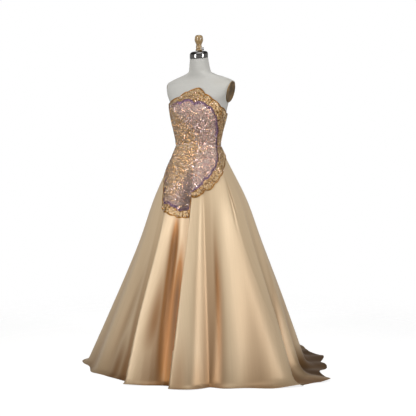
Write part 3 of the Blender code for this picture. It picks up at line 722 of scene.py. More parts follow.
def skirt_surface(angle, share):
    """Points of the skirt: a cone from the waist that turns smoothly onto the floor. With q the height left
    along the cloth, the height is q above the floor, 0 below it and (q + w)^2 / 4w in the turn between;
    what is left of the length goes outwards. The folds move it out and turn it, the hips round it out, and
    on the floor it lifts with the folds and ripples near its edge. The hips' part is HIP_OUT times the way
    down from the waist over HIP_SHARE of it, times a Gaussian of the height round HIP_HEIGHT."""
    angle, share = np.broadcast_arrays(np.asarray(angle, float), np.asarray(share, float))
    on_floor = round_curve(angle, SKIRT_SPREAD, "on_floor")
    hem_out = round_curve(angle, SKIRT_SPREAD, "hem_out")
    middle_out = round_curve(angle, SKIRT_SPREAD, "middle_out")
    way = share * (CONE + on_floor)
    above = WAIST * (1 - way / CONE)
    bend = 0.02 + 0.28 * np.minimum(on_floor, 0.25)
    risen = np.where(above > bend, above, np.where(above < -bend, 0, (above + bend) ** 2 / (4 * bend)))
    run = (risen - above) * CONE / WAIST
    out, turn = bumps(angle, share)
    hip = HIP_OUT * np.exp(-(((risen - HIP_HEIGHT) / HIP_REACH) ** 2)) * (1 - risen / WAIST) / HIP_SHARE
    waist = on_form(angle, np.full(angle.shape, WAIST), SKIRT_MIDDLE)
    radius = np.hypot(waist[..., 0], waist[..., 1]) + SLOPE * (WAIST - risen)
    radius = radius + run + out + hip + hem_out * share**2 + middle_out * np.sin(np.pi * share)
    lying = np.clip(run / LIE_OVER, 0, 1)
    ripple = RIPPLE_HEIGHT * (1 + np.sin(np.radians(angle * RIPPLES))) / 2
    ripple = ripple * np.clip((share - RIPPLE_START) / RIPPLE_OVER, 0, 1)
    lift = lying * (FOLD_LIFT * np.maximum(out, 0) + ripple)
    heading = np.radians(angle + turn)
    height = FLOOR_LIE + (1 - FLOOR_LIE / WAIST) * risen + lift
    return np.stack([radius * np.cos(heading), radius * np.sin(heading), height], axis=-1)


def unit(vectors):
    """Vectors over their lengths."""
    return vectors / np.maximum(np.linalg.norm(vectors, axis=-1, keepdims=True), 1e-12)


def normals(surface, angle, along):
    """Unit normals of a surface: the cross product of small steps along its two parameters."""
    around = surface(angle + 0.05, along) - surface(angle - 0.05, along)
    down = surface(angle, along + 0.0005) - surface(angle, along - 0.0005)
    return unit(np.cross(around, down))


def on_form(angle, height, out=0.0):
    """Points a distance out from the form."""
    return form_surface(angle, height) + out * normals(form_surface, angle, height)


def on_skirt(angle, share, out=0.0):
    """Points a distance out from the skirt's cloth."""
    return skirt_surface(angle, share) - out * normals(skirt_surface, angle, share)


def share_at(angle, height):
    """How far down the skirt's cloth a height of its cone is: the way down the cone by the cloth's length."""
    on_floor = round_curve(angle, SKIRT_SPREAD, "on_floor")
    return (1 - height / WAIST) * CONE / (CONE + on_floor)


def over_hips(angle, height, out=0.0):
    """Points a distance out from the skirt's cloth, at a height of its cone."""
    return on_skirt(angle, share_at(angle, height), out)


def neckline(angle):
    """Height of the bodice's upper edge."""
    return scalloped(angle, NECKLINE)


def field_top(angle):
    """Height of the upper edge of the glitter cloth that shows, under the lace of the neckline."""
    return scalloped(angle, FIELD_TOP)


def overlay_edge(angle):
    """Height of the overlay's lower edge."""
    return scalloped(angle, OVERLAY_EDGE, -1.0)


def lace_top(angle):
    """Upper edge of the overlay's lace band: its lower edge plus the band's depth, kept below the waist."""
    depth = curve(angle, named(LACE_BAND, "angle"), named(LACE_BAND, "depth"))
    return np.minimum(overlay_edge(angle) + depth, WAIST - 0.004)


def field_side(height):
    """Angle of the upright scalloped edge of the glitter cloth: lobes of 4 degrees between its notches, and
    straight up from the last one."""
    keys, angles = np.array(SIDE_HEIGHTS), np.array(SIDE_ANGLES)
    left = np.clip(np.searchsorted(keys, height, side="right") - 1, 0, len(keys) - 2)
    t = np.clip((height - keys[left]) / (keys[left + 1] - keys[left]), 0, 1)
    return angles[left] + (angles[left + 1] - angles[left]) * t + 4.0 * np.abs(np.sin(np.pi * t)) ** 0.7


def grid_faces(rows, cols, wrap=False):
    """Corner numbers of the quads of a grid, and of the strip that closes it round if it wraps."""
    index = np.arange(rows * cols).reshape(rows, cols)
    if wrap:
        index = np.concatenate([index, index[:, :1]], axis=1)
    return np.stack([index[:-1, :-1], index[:-1, 1:], index[1:, 1:], index[1:, :-1]], axis=-1).reshape(-1, 4)


def put_mesh(name, points, faces, material, slot, replaced=(), uv=None, marks=None, smooth=True):
    """One finished piece from arrays of points and of faces with as many corners each, with its material,
    its UV map, the values of its attributes, its body and the nodes that it stands in for. Its slot is not
    used."""
    points = np.asarray(points, np.float32).reshape(-1, 3)
    faces = np.asarray(faces, np.int32)
    mesh = bpy.data.meshes.new(name)
    mesh.vertices.add(len(points))
    mesh.vertices.foreach_set("co", points.ravel())
    mesh.loops.add(faces.size)
    mesh.loops.foreach_set("vertex_index", faces.ravel())
    mesh.polygons.add(len(faces))
    mesh.polygons.foreach_set("loop_start", np.arange(len(faces), dtype=np.int32) * faces.shape[1])
    mesh.update(calc_edges=True)
    mesh.polygons.foreach_set("use_smooth", np.full(len(faces), smooth))
    # The rim of a sheet is a sharp edge, so that its thin side doesn't darken the face of the cloth.
    edge_of = np.empty(len(mesh.loops), np.int32)
    mesh.loops.foreach_get("edge_index", edge_of)
    rim = np.bincount(edge_of, minlength=len(mesh.edges)) == 1
    mesh.attributes.new("sharp_edge", "BOOLEAN", "EDGE").data.foreach_set("value", rim)
    if uv is not None:
        layer = mesh.uv_layers.new(name="cloth")
        layer.data.foreach_set("uv", np.asarray(uv, np.float32).reshape(-1, 2)[faces.ravel()].ravel())
    for label, values in (marks or {}).items():
        mark = mesh.attributes.new(label, "FLOAT", "POINT")
        mark.data.foreach_set("value", np.asarray(values, np.float32).ravel())
    mesh.materials.append(material)
    made = bpy.data.objects.new(name, mesh)
    bpy.context.scene.collection.objects.link(made)
    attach(made, GOWN)
    if replaced:
        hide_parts(*replaced)
    return made


def thickened(piece, wall):
    """Gives a sheet its thickness, half to each side of the grid."""
    made = piece.modifiers.new("wall", "SOLIDIFY")
    made.thickness = wall
    made.offset = 0.0


def lengths(points, axis):
    """Distance walked along one axis of a grid of points."""
    steps = np.linalg.norm(np.diff(points, axis=axis), axis=-1)
    start = np.zeros_like(np.take(steps, [0], axis=axis))
    return np.cumsum(np.concatenate([start, steps], axis=axis), axis=axis)


def area_of(points):
    """Area of a grid of points: half the cross product of the diagonals of each quad."""
    across = points[1:, 1:] - points[:-1, :-1]
    back = points[1:, :-1] - points[:-1, 1:]
    return float(np.linalg.norm(np.cross(across, back), axis=-1).sum() / 2)


def cloth_uv(points):
    """Metres across and along the cloth, the middle column taken as straight."""
    along = lengths(points, 0)
    across = lengths(points, 1)
    middle = across[:, across.shape[1] // 2 : across.shape[1] // 2 + 1]
    return np.stack([across - middle, along], axis=-1)


def cut_size(points):
    """Width and length of the flat piece: its widest row and its longest column."""
    return float(lengths(points, 1)[:, -1].max()), float(lengths(points, 0)[-1].max())


def declare(points):
    """Works out a piece's cut size and the flat area of its grid, and does nothing more with them. A curved
    strip like the overlay fills less of its rectangle than a sheet may, so its area is then the least share
    of the rectangle."""
    width, length = cut_size(points)
    area = max(area_of(points), LEAST_SHARE * width * length)


def satin(colours):
    """Champagne satin: streaks of the warp, a warm painted shade in the folds that turns darker in the
    deepest creases, and painted shade on the train and along the hem. The weave, the hem's stitches and the
    seams' grooves are its bump."""
    made = Recipe("champagne_satin", colours.satin, 0.42, metallic=0.22)
    cloth = made.place("UV")
    streaks = made.noise(made.stretched(cloth, (150.0, 4.0, 1.0)), 1.0, 4.0, 0.6)
    clouds = made.noise(made.stretched(cloth, (3.0, 2.0, 1.0)), 1.0, 2.0)
    # Painted shade: the depth mark turns the satin warm in its folds, and darker still where it passes 1.
    deep = made.attribute("depth")
    depth = deep.clamped()
    lying = made.attribute("lying")
    tone = made.mix(colours.satin, dimmed(colours.satin, 0.96), streaks.over(0.35, 0.7))
    tone = made.mix(tone, colours.satin_depth, depth)
    tone = made.mix(tone, dimmed(colours.satin_depth, 0.22), (deep - 1.0).clamped())
    # Painted shade: the lying mark turns the train and the hem to a shaded tone.
    tone = made.mix(tone, colours.satin_floor, lying)
    made.feed("Base Color", tone)
    made.feed("Roughness", 0.42 + streaks * 0.02 + clouds * 0.05)
    # The painted shade also raises the metallic share, so the shaded cloth reflects in its own dark tone.
    made.feed("Metallic", 0.22 + lying * 0.5 + depth * 0.35)
    weave = made.noise(made.stretched(cloth, (1700.0, 260.0, 1.0)), 1.0, 1.0)
    hem = made.attribute("hem")
    stitch = hem.over(0.0, 0.0012) - hem.over(0.0022, 0.0034)
    seam = made.attribute("seam")
    groove = (1.0 - seam.over(0.0, 0.0012)) * 0.3
    slow = made.bump(clouds * 0.6, 0.0022, 0.35)
    made.feed("Normal", made.bump(weave * 0.2 - groove * 1.2 - stitch * 0.5, 0.00035, 0.6, slow))
    return made.material


def glitter(colours, sizes):
    """Glitter cloth: a mosaic of tilted flecks, mauve or bronze by place, some of them pale or dark, with the
    violet line along the lace and a painted shade beside the overlay's folds."""
    made = Recipe("violet_glitter", colours.mauve, 0.3)
    where = made.place()
    values = {"Vector": where, "Scale": 1.0 / sizes.glitter_cell}
    cells = made.add("ShaderNodeTexVoronoi", None, values, "Color")
    chance = made.add("ShaderNodeSeparateColor", None, {"Color": cells}, "Red")
    other = chance.output("Green")
    patches = made.noise(where, 34.0, 3.0)
    warm = (made.attribute("warm") * 0.95 + (patches - 0.5) * 1.1 + (chance - 0.5) * 0.75).over(0.25, 0.75)
    tone = made.mix(colours.mauve, colours.bronze, warm)
    tone = made.mix(tone, dimmed(colours.mauve, 2.5), other.over(0.62, 0.9))
    tone = made.mix(tone, dimmed(colours.mauve, 0.25), chance.over(0.30, 0.12))
    line = made.attribute("line")
    tone = made.mix(tone, colours.violet, line * 0.85)
    # Painted shade: the cloth darkened beside the overlay's two folds.
    tone = made.mix(tone, (0.12, 0.075, 0.06), made.attribute("dusk") * 0.8)
    made.feed("Base Color", tone)
    made.feed("Metallic", chance.over(0.35, 0.8) * 0.75 * (1.0 - line * 0.5))
    made.feed("Roughness", 0.24 + other * 0.35)
    # A cell's height is its random slope times the distance from its centre, so that each fleck is tilted.
    inside = made.vector("SUBTRACT", where, cells.output("Position"))
    slope = made.vector("SUBTRACT", cells, (0.5, 0.5, 0.5))
    made.feed("Normal", made.bump(made.vector("DOT_PRODUCT", inside, slope).output("Value"), 1.0))
    return made.material


def lace_ground(colours):
    """Gold lace: scrolls of thread over a brown net, with darker patches and pale flecks."""
    made = Recipe("gold_lace", colours.lace, 0.38)
    where = made.place()
    wander = made.add("ShaderNodeTexNoise", None, {"Vector": where, "Scale": 90.0, "Detail": 1.0}, "Color")
    bent = made.vector("ADD", where, made.vector("MULTIPLY", wander, (0.006, 0.006, 0.006)))
    edges = {"feature": "DISTANCE_TO_EDGE"}
    scrolls = made.add("ShaderNodeTexVoronoi", edges, {"Vector": bent, "Scale": 125.0})
    net = made.add("ShaderNodeTexVoronoi", edges, {"Vector": where, "Scale": 620.0})
    thread = 1.0 - scrolls.over(0.10, 0.20)
    mesh = 1.0 - net.over(0.05, 0.16)
    tone = made.mix(colours.lace_ground, colours.lace, (thread + mesh * 0.2).clamped())
    patches = made.noise(where, 110.0, 1.0)
    tone = made.mix(tone, colours.lace_ground, (1.0 - patches.over(0.36, 0.50)) * 0.75)
    flecks = made.noise(where, 190.0, 1.0)
    tone = made.mix(tone, (1.0, 0.76, 0.44), flecks.over(0.55, 0.62) * patches.over(0.42, 0.52))
    made.feed("Base Color", tone)
    made.feed("Metallic", thread * 0.75)
    made.feed("Roughness", 0.5 - thread * 0.18)
    made.feed("Normal", made.bump(thread + mesh * 0.3, 0.0009, 0.9))
    return made.material


def shiny(name, colour, roughness, metallic, change, scale):
    """A trim's finish: one colour that changes a little from stone to stone or thread to thread."""
    made = Recipe(name, colour, roughness, metallic=metallic)
    flecks = made.noise(made.place(), scale, 2.0)
    made.feed("Base Color", made.mix(dimmed(colour, (1 - change) ** 2), colour, flecks.over(0.35, 0.65)))
    made.feed("Roughness", roughness * 0.8 + flecks * roughness * 0.4)
    return made.material


def linen(colours):
    """Linen cover of the form: a plain weave with slubs, slightly uneven in tone."""
    made = Recipe("form_linen", colours.linen, 0.85, sheen_weight=0.1, sheen_roughness=0.5)
    where = made.place()
    warp = made.noise(made.stretched(where, (900.0, 900.0, 40.0)), 1.0, 2.0)
    weft = made.noise(made.stretched(where, (40.0, 40.0, 900.0)), 1.0, 2.0)
    clouds = made.noise(where, 9.0, 3.0)
    threads = (warp * 0.5 + weft * 0.5).over(0.35, 0.65)
    tone = made.mix(dimmed(colours.linen, 0.93), colours.linen, threads)
    tone = made.mix(tone, (0.44, 0.415, 0.365), clouds.over(0.5, 0.8) * 0.35)
    made.feed("Base Color", tone)
    made.feed("Roughness", 0.8 + weft * 0.15)
    seam = made.attribute("seam")
    made.feed("Normal", made.bump(warp + weft - (1.0 - seam.over(0.0, 0.0015)) * 3.0, 0.0003, 0.5))
    return made.material


def wood(colours):
    """Turned wood: fine rings across the lathe's axis, darker grain and painted shade in the grooves, under a
    clear coat.
    """
    made = Recipe("turned_wood", colours.wood, 0.35, coat_roughness=0.12)
    where = made.place()
    rings = made.noise(made.stretched(where, (12.0, 12.0, 420.0)), 1.0, 3.0)
    grain = made.noise(made.stretched(where, (160.0, 160.0, 18.0)), 1.0, 4.0, 0.6)
    tone = made.mix(dimmed(colours.wood, 0.62), colours.wood, (rings * 0.45 + grain * 0.55).over(0.36, 0.58))
    level = made.add("ShaderNodeSeparateXYZ", None, {"Vector": where}, "Z") - KNOB_FOOT
    # Painted shade darkens each of the knob's grooves.
    for groove, width in KNOB_GROOVE_SHADE:
        dark = 1.0 - (level - groove).by("ABSOLUTE").over(0.0, width)
        tone = made.mix(tone, (0.12, 0.062, 0.022), dark * 0.8)
    made.feed("Base Color", tone)
    made.feed("Coat Weight", 0.55 + grain * 0.2)
    made.feed("Normal", made.bump(rings * 0.5 + grain * 0.3, 0.0004, 0.4))
    return made.material


def bronze_plate(colours):
    """Painted bronze: a soft brown sheen with fine brushing and a painted highlight along its rim."""
    made = Recipe("plate_bronze", colours.plate, 0.34, metallic=0.55)
    where = made.place()
    brushed = made.noise(made.stretched(where, (60.0, 60.0, 700.0)), 1.0, 3.0)
    clouds = made.noise(where, 26.0, 3.0)
    tone = made.mix(dimmed(colours.plate, 0.6), dimmed(colours.plate, 1.7), clouds.over(0.3, 0.7))
    # Painted highlight: the plate's rounded rim made lighter all round.
    rim = made.attribute("rim")
    tone = made.mix(tone, (0.33, 0.23, 0.12), rim.over(0.9, 1.0) * 0.6)
    made.feed("Base Color", tone)
    made.feed("Roughness", 0.28 + brushed * 0.18)
    made.feed("Normal", made.bump(brushed, 0.0002, 0.35))
    return made.material


def metal(name, colour, roughness, brushing=0.08, scale=(30.0, 30.0, 900.0)):
    """Polished metal with faint turning marks."""
    made = Recipe(name, colour, roughness, metallic=1.0)
    where = made.place()
    marks = made.noise(made.stretched(where, scale), 1.0, 2.0)
    made.feed("Base Color", made.mix(dimmed(colour, 0.86), colour, marks.over(0.4, 0.6)))
    made.feed("Roughness", roughness + marks * brushing)
    made.feed("Normal", made.bump(marks, 0.00008, 0.3))
    return made.material


def stand_paint(colours):
    """Black satin paint with a little dust and orange peel."""
    made = Recipe("stand_paint", colours.stand, 0.4, metallic=0.3)
    where = made.place()
    dust = made.noise(where, 60.0, 4.0)
    made.feed("Base Color", made.mix(colours.stand, (0.12, 0.115, 0.11), dust.over(0.5, 0.8) * 0.5))
    made.feed("Roughness", 0.34 + dust * 0.25)
    made.feed("Normal", made.bump(made.noise(where, 500.0, 1.0), 0.0001, 0.3))
    return made.material


def tape_cloth():
    """Woven zip tape: a fine diagonal twill in two browns."""
    made = Recipe("zip_tape", (0.40, 0.27, 0.15), 0.8)
    where = made.place()
    values = {"Vector": where, "Scale": 900.0}
    twill = made.add("ShaderNodeTexWave", {"bands_direction": "DIAGONAL"}, values, "Fac")
    made.feed("Base Color", made.mix((0.30, 0.19, 0.10), (0.46, 0.32, 0.19), twill))
    made.feed("Normal", made.bump(twill, 0.0002, 0.6))
    return made.material


def spaced(start, end, count, share=0.85, even=0.35):
    """Angles whose points lie evenly along the folded skirt at one level, partly evened in angle."""
    fine = np.linspace(start, end, 3000)
    steps = np.linalg.norm(np.diff(skirt_surface(fine, np.full(fine.shape, share)), axis=0), axis=1)
    steps = steps / steps.sum() + even / len(steps)
    walked = np.concatenate([[0], np.cumsum(steps)])
    return np.interp(np.linspace(0, walked[-1], count), walked, fine)


def painted_fold_shade(angle, share):
    """How strongly painted shade shows in the folds at a point: how far the highest crest within 9 degrees
    stands out past it, against
    70 mm and up to 1, or the painted shade of the crease that it lies in if that is more."""
    out = bumps(angle, share)[0]
    crest = np.max([bumps(angle + d, share)[0] for d in (-9, -6, -3, 3, 6, 9)], axis=0)
    shades = [crease.shade * trough for crease, trough in troughs(angle, share)]
    return np.maximum(np.clip((crest - out) / 0.070, 0, 1), np.max(shades, axis=0))


# How far the camera stands to the right of the line to the pole, and the height that the lights aim at.
CAMERA_SIDE = 0.045
LIGHT_AIM = 1.05
FLOOR_RINGS = 24
FLOOR_SPOKES = 72
FLOOR_RADIUS = 4.0


class GOWN_OT_stage(bpy.types.Operator):
    """Makes the pale floor, the soft lights, the room's light and the camera"""

    bl_idname = "gown.stage"
    bl_label = "Studio"

    def execute(self, context):
        look = context.scene.gown_stage
        scene = context.scene
        right = np.array([math.cos(look.azimuth), math.sin(look.azimuth), 0.0])
        toward = np.array([math.sin(look.azimuth), -math.cos(look.azimuth), 0.0])
        self.camera(scene, look, right, toward)
        for name, place, level, wide, high, power in (
            ("softbox_right", toward * 2.1 + right * 2.6, 2.0, 0.8, 1.6, look.key),
            ("softbox_left", toward * 2.35 - right * 2.35, 2.0, 0.7, 1.6, look.fill),
            ("softbox_top", toward * 0.6, 4.2, 3.0, 3.0, look.top),
        ):
            self.softbox(scene, name, Vector((place[0], place[1], level)), wide, high, power)
        self.room(scene, look)
        self.floor()
        scene.view_settings.view_transform = "Standard"
        return {"FINISHED"}

    def camera(self, scene, look, right, toward):
        """A long lens at a distance from the pole, level across and turned down by the pitch."""
        data = bpy.data.cameras.new("camera")
        data.lens = look.focal
        data.sensor_width = 36.0
        made = bpy.data.objects.new("camera", data)
        scene.collection.objects.link(made)
        place = toward * look.distance + right * CAMERA_SIDE
        made.location = (place[0], place[1], look.camera_height)
        ahead = Vector((-toward[0], -toward[1], -math.tan(look.pitch)))
        made.rotation_euler = ahead.to_track_quat("-Z", "Y").to_euler()
        scene.camera = made

    def softbox(self, scene, name, place, wide, high, power):
        """An oblong light that faces the middle of the gown."""
        data = bpy.data.lights.new(name, "AREA")
        data.shape = "RECTANGLE"
        data.size = wide
        data.size_y = high
        data.energy = power
        data.spread = math.radians(80)
        made = bpy.data.objects.new(name, data)
        scene.collection.objects.link(made)
        made.location = place
        made.rotation_euler = (Vector((0, 0, LIGHT_AIM)) - place).to_track_quat("-Z", "Y").to_euler()

    def room(self, scene, look):
        """Plain white to the camera; as light, dim above and below and brighter all round at eye level."""
        world = bpy.data.worlds.new("room")
        world.use_nodes = True
        scene.world = world
        room = Nodes(world.node_tree, "Background")
        way = room.add("ShaderNodeSeparateXYZ", None, {"Vector": room.place("Generated")}, "Z")
        level = way.by("ABSOLUTE")
        shares = {"From Min": 0.1, "From Max": 0.6, "To Min": look.room, "To Max": look.room * 0.15}
        ways = {"interpolation_type": "SMOOTHSTEP"}
        room.feed("Color", (1.0, 0.985, 0.96))
        room.feed("Strength", room.add("ShaderNodeMapRange", ways, {"Value": level, **shares}))
        white = room.add("ShaderNodeBackground", None, {"Color": (1.0, 1.0, 1.0)})
        seen = room.add("ShaderNodeLightPath", output="Is Camera Ray")
        room.surface(seen, Flow(room, room.shader.outputs[0]), white, "World Output")

    def floor(self):
        """A round sheet of spokes and rings, pale near the gown and fading out far from it."""
        turn = np.linspace(0, 2 * np.pi, FLOOR_SPOKES, endpoint=False)
        ring = np.linspace(0.02, FLOOR_RADIUS, FLOOR_RINGS)[:, None]
        points = np.stack(np.broadcast_arrays(ring * np.cos(turn), ring * np.sin(turn), 0.0), axis=-1)
        faces = grid_faces(FLOOR_RINGS, FLOOR_SPOKES, True).tolist() + [list(range(FLOOR_SPOKES))]
        mesh = bpy.data.meshes.new("floor")
        mesh.from_pydata(points.reshape(-1, 3).tolist(), [], faces)
        made = bpy.data.objects.new("floor", mesh)
        bpy.context.scene.collection.objects.link(made)
        glow = {"emission_color": (1.0, 1.0, 1.0), "emission_strength": 0.80}
        recipe = Recipe("pale_floor", (0.45, 0.45, 0.45), 0.8, **glow)
        far = recipe.vector("LENGTH", recipe.place()).output("Value")
        clear = recipe.add("ShaderNodeBsdfTransparent")
        solid = Flow(recipe, recipe.shader.outputs[0])
        recipe.surface(far.over(0.7, 2.6), solid, clear, "Material Output")
        mesh.materials.append(recipe.material)
        made.visible_diffuse = False
        made.visible_glossy = False


def paint_nodes(names, material):
    """Gives the solids of some nodes a material, where no finer piece takes their place."""
    for name in names:
        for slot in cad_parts[name].material_slots:
            slot.material = material


class GOWN_OT_form(bpy.types.Operator):
    """Makes the dress form: linen body, metal cap, turned knob and arm plates, and finishes its stand"""

    bl_idname = "gown.form"
    bl_label = "Dress form"

    def execute(self, context):
        colours = context.scene.form_colours
        self.body(colours)
        self.cap()
        self.knob(colours)
        plate = bronze_plate(colours)
        self.plate("plate_left", 1, plate, "arm_plate_left")
        self.plate("plate_right", -1, plate, "arm_plate_right")
        paint_nodes(("stand_foot", "stand_pole"), stand_paint(colours))
        return {"FINISHED"}

    def body(self, colours):
        """The form's surface on a grid of angles and of heights, closest over the shoulders, then closed."""
        angle = np.linspace(-180, 180, 150, endpoint=False)[None, :]
        levels = (np.linspace(0.86, 1.38, 64), np.linspace(1.382, 1.47, 44), np.linspace(1.474, NECK_TOP, 8))
        points = form_surface(angle, np.concatenate(levels)[:, None])
        from_seam = np.min([np.abs(wrapped(angle - seam)) for seam in FORM_SEAMS], axis=0)
        marks = {"seam": np.radians(from_seam) * np.hypot(points[..., 0], points[..., 1])}
        faces = grid_faces(*points.shape[:2], wrap=True)
        cover = linen(colours)
        close_ends(put_mesh("linen_body", points, faces, cover, "form_linen", ("form_body",), marks=marks))

    def cap(self):
        """The metal cap, turned from its profile and sheared along the slope of the neck."""
        steel = metal("polished_cap", (0.22, 0.216, 0.212), 0.05, 0.05)
        profile = raised(CAP_PROFILE, NECK_TOP + SEAM_GAP)
        turned_piece("neck_cap", profile, 96, steel, "polished_metal", ("form_neck_cap",), NECK_TILT)

    def knob(self, colours):
        """The turned knob, and the wing of the set screw that stands at the side of its foot."""
        profile = raised(KNOB_PROFILE, KNOB_FOOT)
        turned_piece("turned_knob", profile, 64, wood(colours), "turned_wood", ("form_knob",))
        dark = metal("dark_screw", (0.16, 0.16, 0.17), 0.3)
        profile = raised(SCREW_PROFILE, KNOB_FOOT)
        turned_piece("set_screw", profile, 20, dark, "polished_metal", centre=SCREW_PLACE)

    def plate(self, name, side, material, node):
        """An oval plate: ellipses of falling size carried out along the arm hole's normal."""
        sides = 96
        turn = np.linspace(0, 2 * np.pi, sides, endpoint=False)
        grow, out = (column[:, None] for column in np.array(PLATE_RINGS).T)
        y = PLATE_MIDDLE + PLATE_HALF_DEPTH * grow * np.cos(turn)
        z = PLATE_HALF_HEIGHT * grow * np.sin(turn)
        x = side * (PLATE_PLANE + PLATE_LEAN * z + SEAM_GAP + PLATE_OUT * out)
        points = np.stack(np.broadcast_arrays(x, y, PLATE_HEIGHT + z), axis=-1)[:, ::-side]
        faces = grid_faces(len(grow), sides, True)
        marks = {"rim": np.broadcast_to(grow, points.shape[:2])}
        close_ends(put_mesh(name, points, faces, material, "plate_bronze", (node,), marks=marks))


def close_ends(piece):
    """Fills the open rims of a piece and turns its faces outwards."""
    work = bmesh.new()
    work.from_mesh(piece.data)
    rims = [e for e in work.edges if e.is_boundary]
    bmesh.ops.holes_fill(work, edges=rims, sides=0)
    bmesh.ops.recalc_face_normals(work, faces=work.faces)
    work.to_mesh(piece.data)
    work.free()


def raised(profile, foot):
    """A profile with its heights counted from the floor."""
    return [(radius, foot + height) for radius, height in profile]


def turned_piece(name, profile, sides, material, slot, replaced=(), tilt=0.0, centre=(0.0, 0.0)):
    """A surface of revolution: each point of the profile carried round an upright axis, then closed. The tilt
    shears it, so that it rises towards the back."""
    turn = np.linspace(0, 2 * np.pi, sides, endpoint=False)
    radius, height = (np.array(c)[:, None] for c in zip(*profile))
    x, y = radius * np.cos(turn), radius * np.sin(turn)
    points = np.stack(np.broadcast_arrays(x + centre[0], y + centre[1], height + tilt * y), axis=-1)
    close_ends(put_mesh(name, points, grid_faces(len(profile), sides, True), material, slot, replaced))


# Rows of a gore's grid, and its columns for each degree.
SKIRT_ROWS = 130
SKIRT_COLUMNS = 1.5


class GOWN_OT_skirt(bpy.types.Operator):
    """Makes the six gores of the satin skirt"""

    bl_idname = "gown.skirt"
    bl_label = "Skirt"

    def execute(self, context):
        material = satin(context.scene.gown_colours)
        hem_depth = context.scene.gown_sizes.hem
        for gore in SKIRT_GORES:
            columns = int((gore.end - gore.start) * SKIRT_COLUMNS)
            angle = spaced(gore.start, gore.end, columns)[None, :]
            share = np.linspace(0.0002, 1.0, SKIRT_ROWS)[:, None] ** 0.97
            share, angle = np.broadcast_arrays(share, angle)
            points = skirt_surface(angle, share)
            uv = cloth_uv(points)
            from_hem = uv[-1:, :, 1] - uv[..., 1]
            from_seam = np.minimum(np.abs(uv[..., 0] - uv[:, :1, 0]), np.abs(uv[..., 0] - uv[:, -1:, 0]))
            # The depth and lying marks set how strongly painted shade shows on the satin.
            marks = {
                "depth": painted_fold_shade(angle, share),
                "lying": train_shade(angle, points),
                "hem": np.abs(from_hem - hem_depth),
                "seam": from_seam,
            }
            inset = trimmed(points, SATIN_SEAM_GAP)
            inset[0, :, 2] = WAIST - SEAM_GAP
            faces = grid_faces(*angle.shape)[:, ::-1]
            name, nodes = "satin_" + gore.name, (gore.name,)
            piece = put_mesh(name, inset, faces, material, "champagne_satin", nodes, uv=uv, marks=marks)
            thickened(piece, SATIN_WALL)
            declare(points)
        return {"FINISHED"}


def train_shade(angle, points):
    """How strongly the painted shade of the train shows: most near the floor on the left, where the train
    starts, and a little all along the hem."""
    turned = wrapped(angle)
    back = np.clip((turned + 11) / 8, 0, 1) * np.clip((80 - turned) / 32, 0, 1)
    low = np.clip((0.12 - points[..., 2]) / 0.08, 0, 1)
    hem = np.clip((0.16 - points[..., 2]) / 0.16, 0, 1) ** 1.6
    return np.maximum(back * low * 0.95, hem * 0.28)


def trimmed(points, gap):
    """A grid whose first and last columns are moved half a seam gap into the panel."""
    made = points.copy()
    for edge, inner in ((0, 1), (-1, -2)):
        made[:, edge] += gap / 2 * unit(made[:, inner] - made[:, edge])
    return made


class GOWN_OT_bodice(bpy.types.Operator):
    """Makes the five panels of the glitter bodice and the overlay over the hips"""

    bl_idname = "gown.bodice"
    bl_label = "Bodice and overlay"

    def execute(self, context):
        material = glitter(context.scene.gown_colours, context.scene.gown_sizes)
        for panel in BODICE_PANELS:
            angle = np.linspace(panel.start, panel.end, 48)[None, :]
            low = WAIST + SEAM_GAP
            height = low + (neckline(angle) - BODICE_SHORT - low) * np.linspace(0, 1, 64)[:, None]
            angle, height = np.broadcast_arrays(angle, height)
            points = on_form(angle, height, BODICE_MIDDLE)
            marks = {"line": bodice_line(angle, height), "warm": warmth(angle, height)}
            inset, faces = trimmed(points, BODICE_SEAM_GAP), grid_faces(*angle.shape)
            piece = self.cloth("glitter_" + panel.name, inset, faces, material, panel.name, points, marks)
            thickened(piece, BODICE_WALL)
            declare(points)
        self.overlay(material)
        return {"FINISHED"}

    def overlay(self, material):
        """The glitter cloth over the hips, from the waist to its scalloped edge. Its upper edge stands out a
        little, over the foot of the bodice."""
        angle = spaced(OVERLAY_EDGE[0].angle, OVERLAY_EDGE[-1].angle, 230, 0.3, 0.5)[None, :]
        edge = overlay_edge(angle) + BODICE_SHORT
        top = WAIST + 0.0022
        height = top + (edge - top) * np.linspace(0, 1, 90)[:, None]
        angle, height = np.broadcast_arrays(angle, height)
        overlap = 0.0012 * np.clip((height - WAIST + 0.008) / 0.010, 0, 1)
        points = over_hips(angle, height, (OVERLAY_OUT + overlap)[..., None])
        marks = {"line": hip_line(angle, height), "warm": warmth(angle, height), "dusk": dusk(angle, height)}
        faces = grid_faces(*angle.shape)[:, ::-1]
        piece = self.cloth("glitter_overlay", points, faces, material, "overlay", points, marks)
        thickened(piece, OVERLAY_WALL)
        declare(points)

    def cloth(self, name, inset, faces, material, node, points, marks):
        """A piece of glitter cloth in place of a node, with its pattern measured along the whole panel."""
        uv = cloth_uv(points)
        return put_mesh(name, inset, faces, material, "violet_glitter", (node,), uv=uv, marks=marks)


def line_shape(inside):
    """Strength of the violet line by the distance inside the lace's inner edge: it rises up to 1 mm short of
    the edge, is full for the first 7.5 mm and has gone at 16.5 mm."""
    return np.clip((inside + 0.004) / 0.003, 0, 1) * np.clip((0.0165 - inside) / 0.009, 0, 1)


def bodice_line(angle, height):
    """Strength of the violet line on the bodice, from the distances to the glitter's top and side edges."""
    turned = wrapped(angle)
    down = field_top(turned) - height
    across = np.radians(field_side(height) - turned) * FRONT_RADIUS
    inside = np.where(turned > -60, np.minimum(down, across), down)
    shown = (turned > -178) & (turned < 0)
    return np.where(shown, line_shape(inside), 0.0)


def hip_line(angle, height):
    """Strength of the violet line over the hips, from the height above the lace; it fades out on the left."""
    return line_shape(height - lace_top(angle)) * np.clip((24 - angle) / 8, 0, 1)


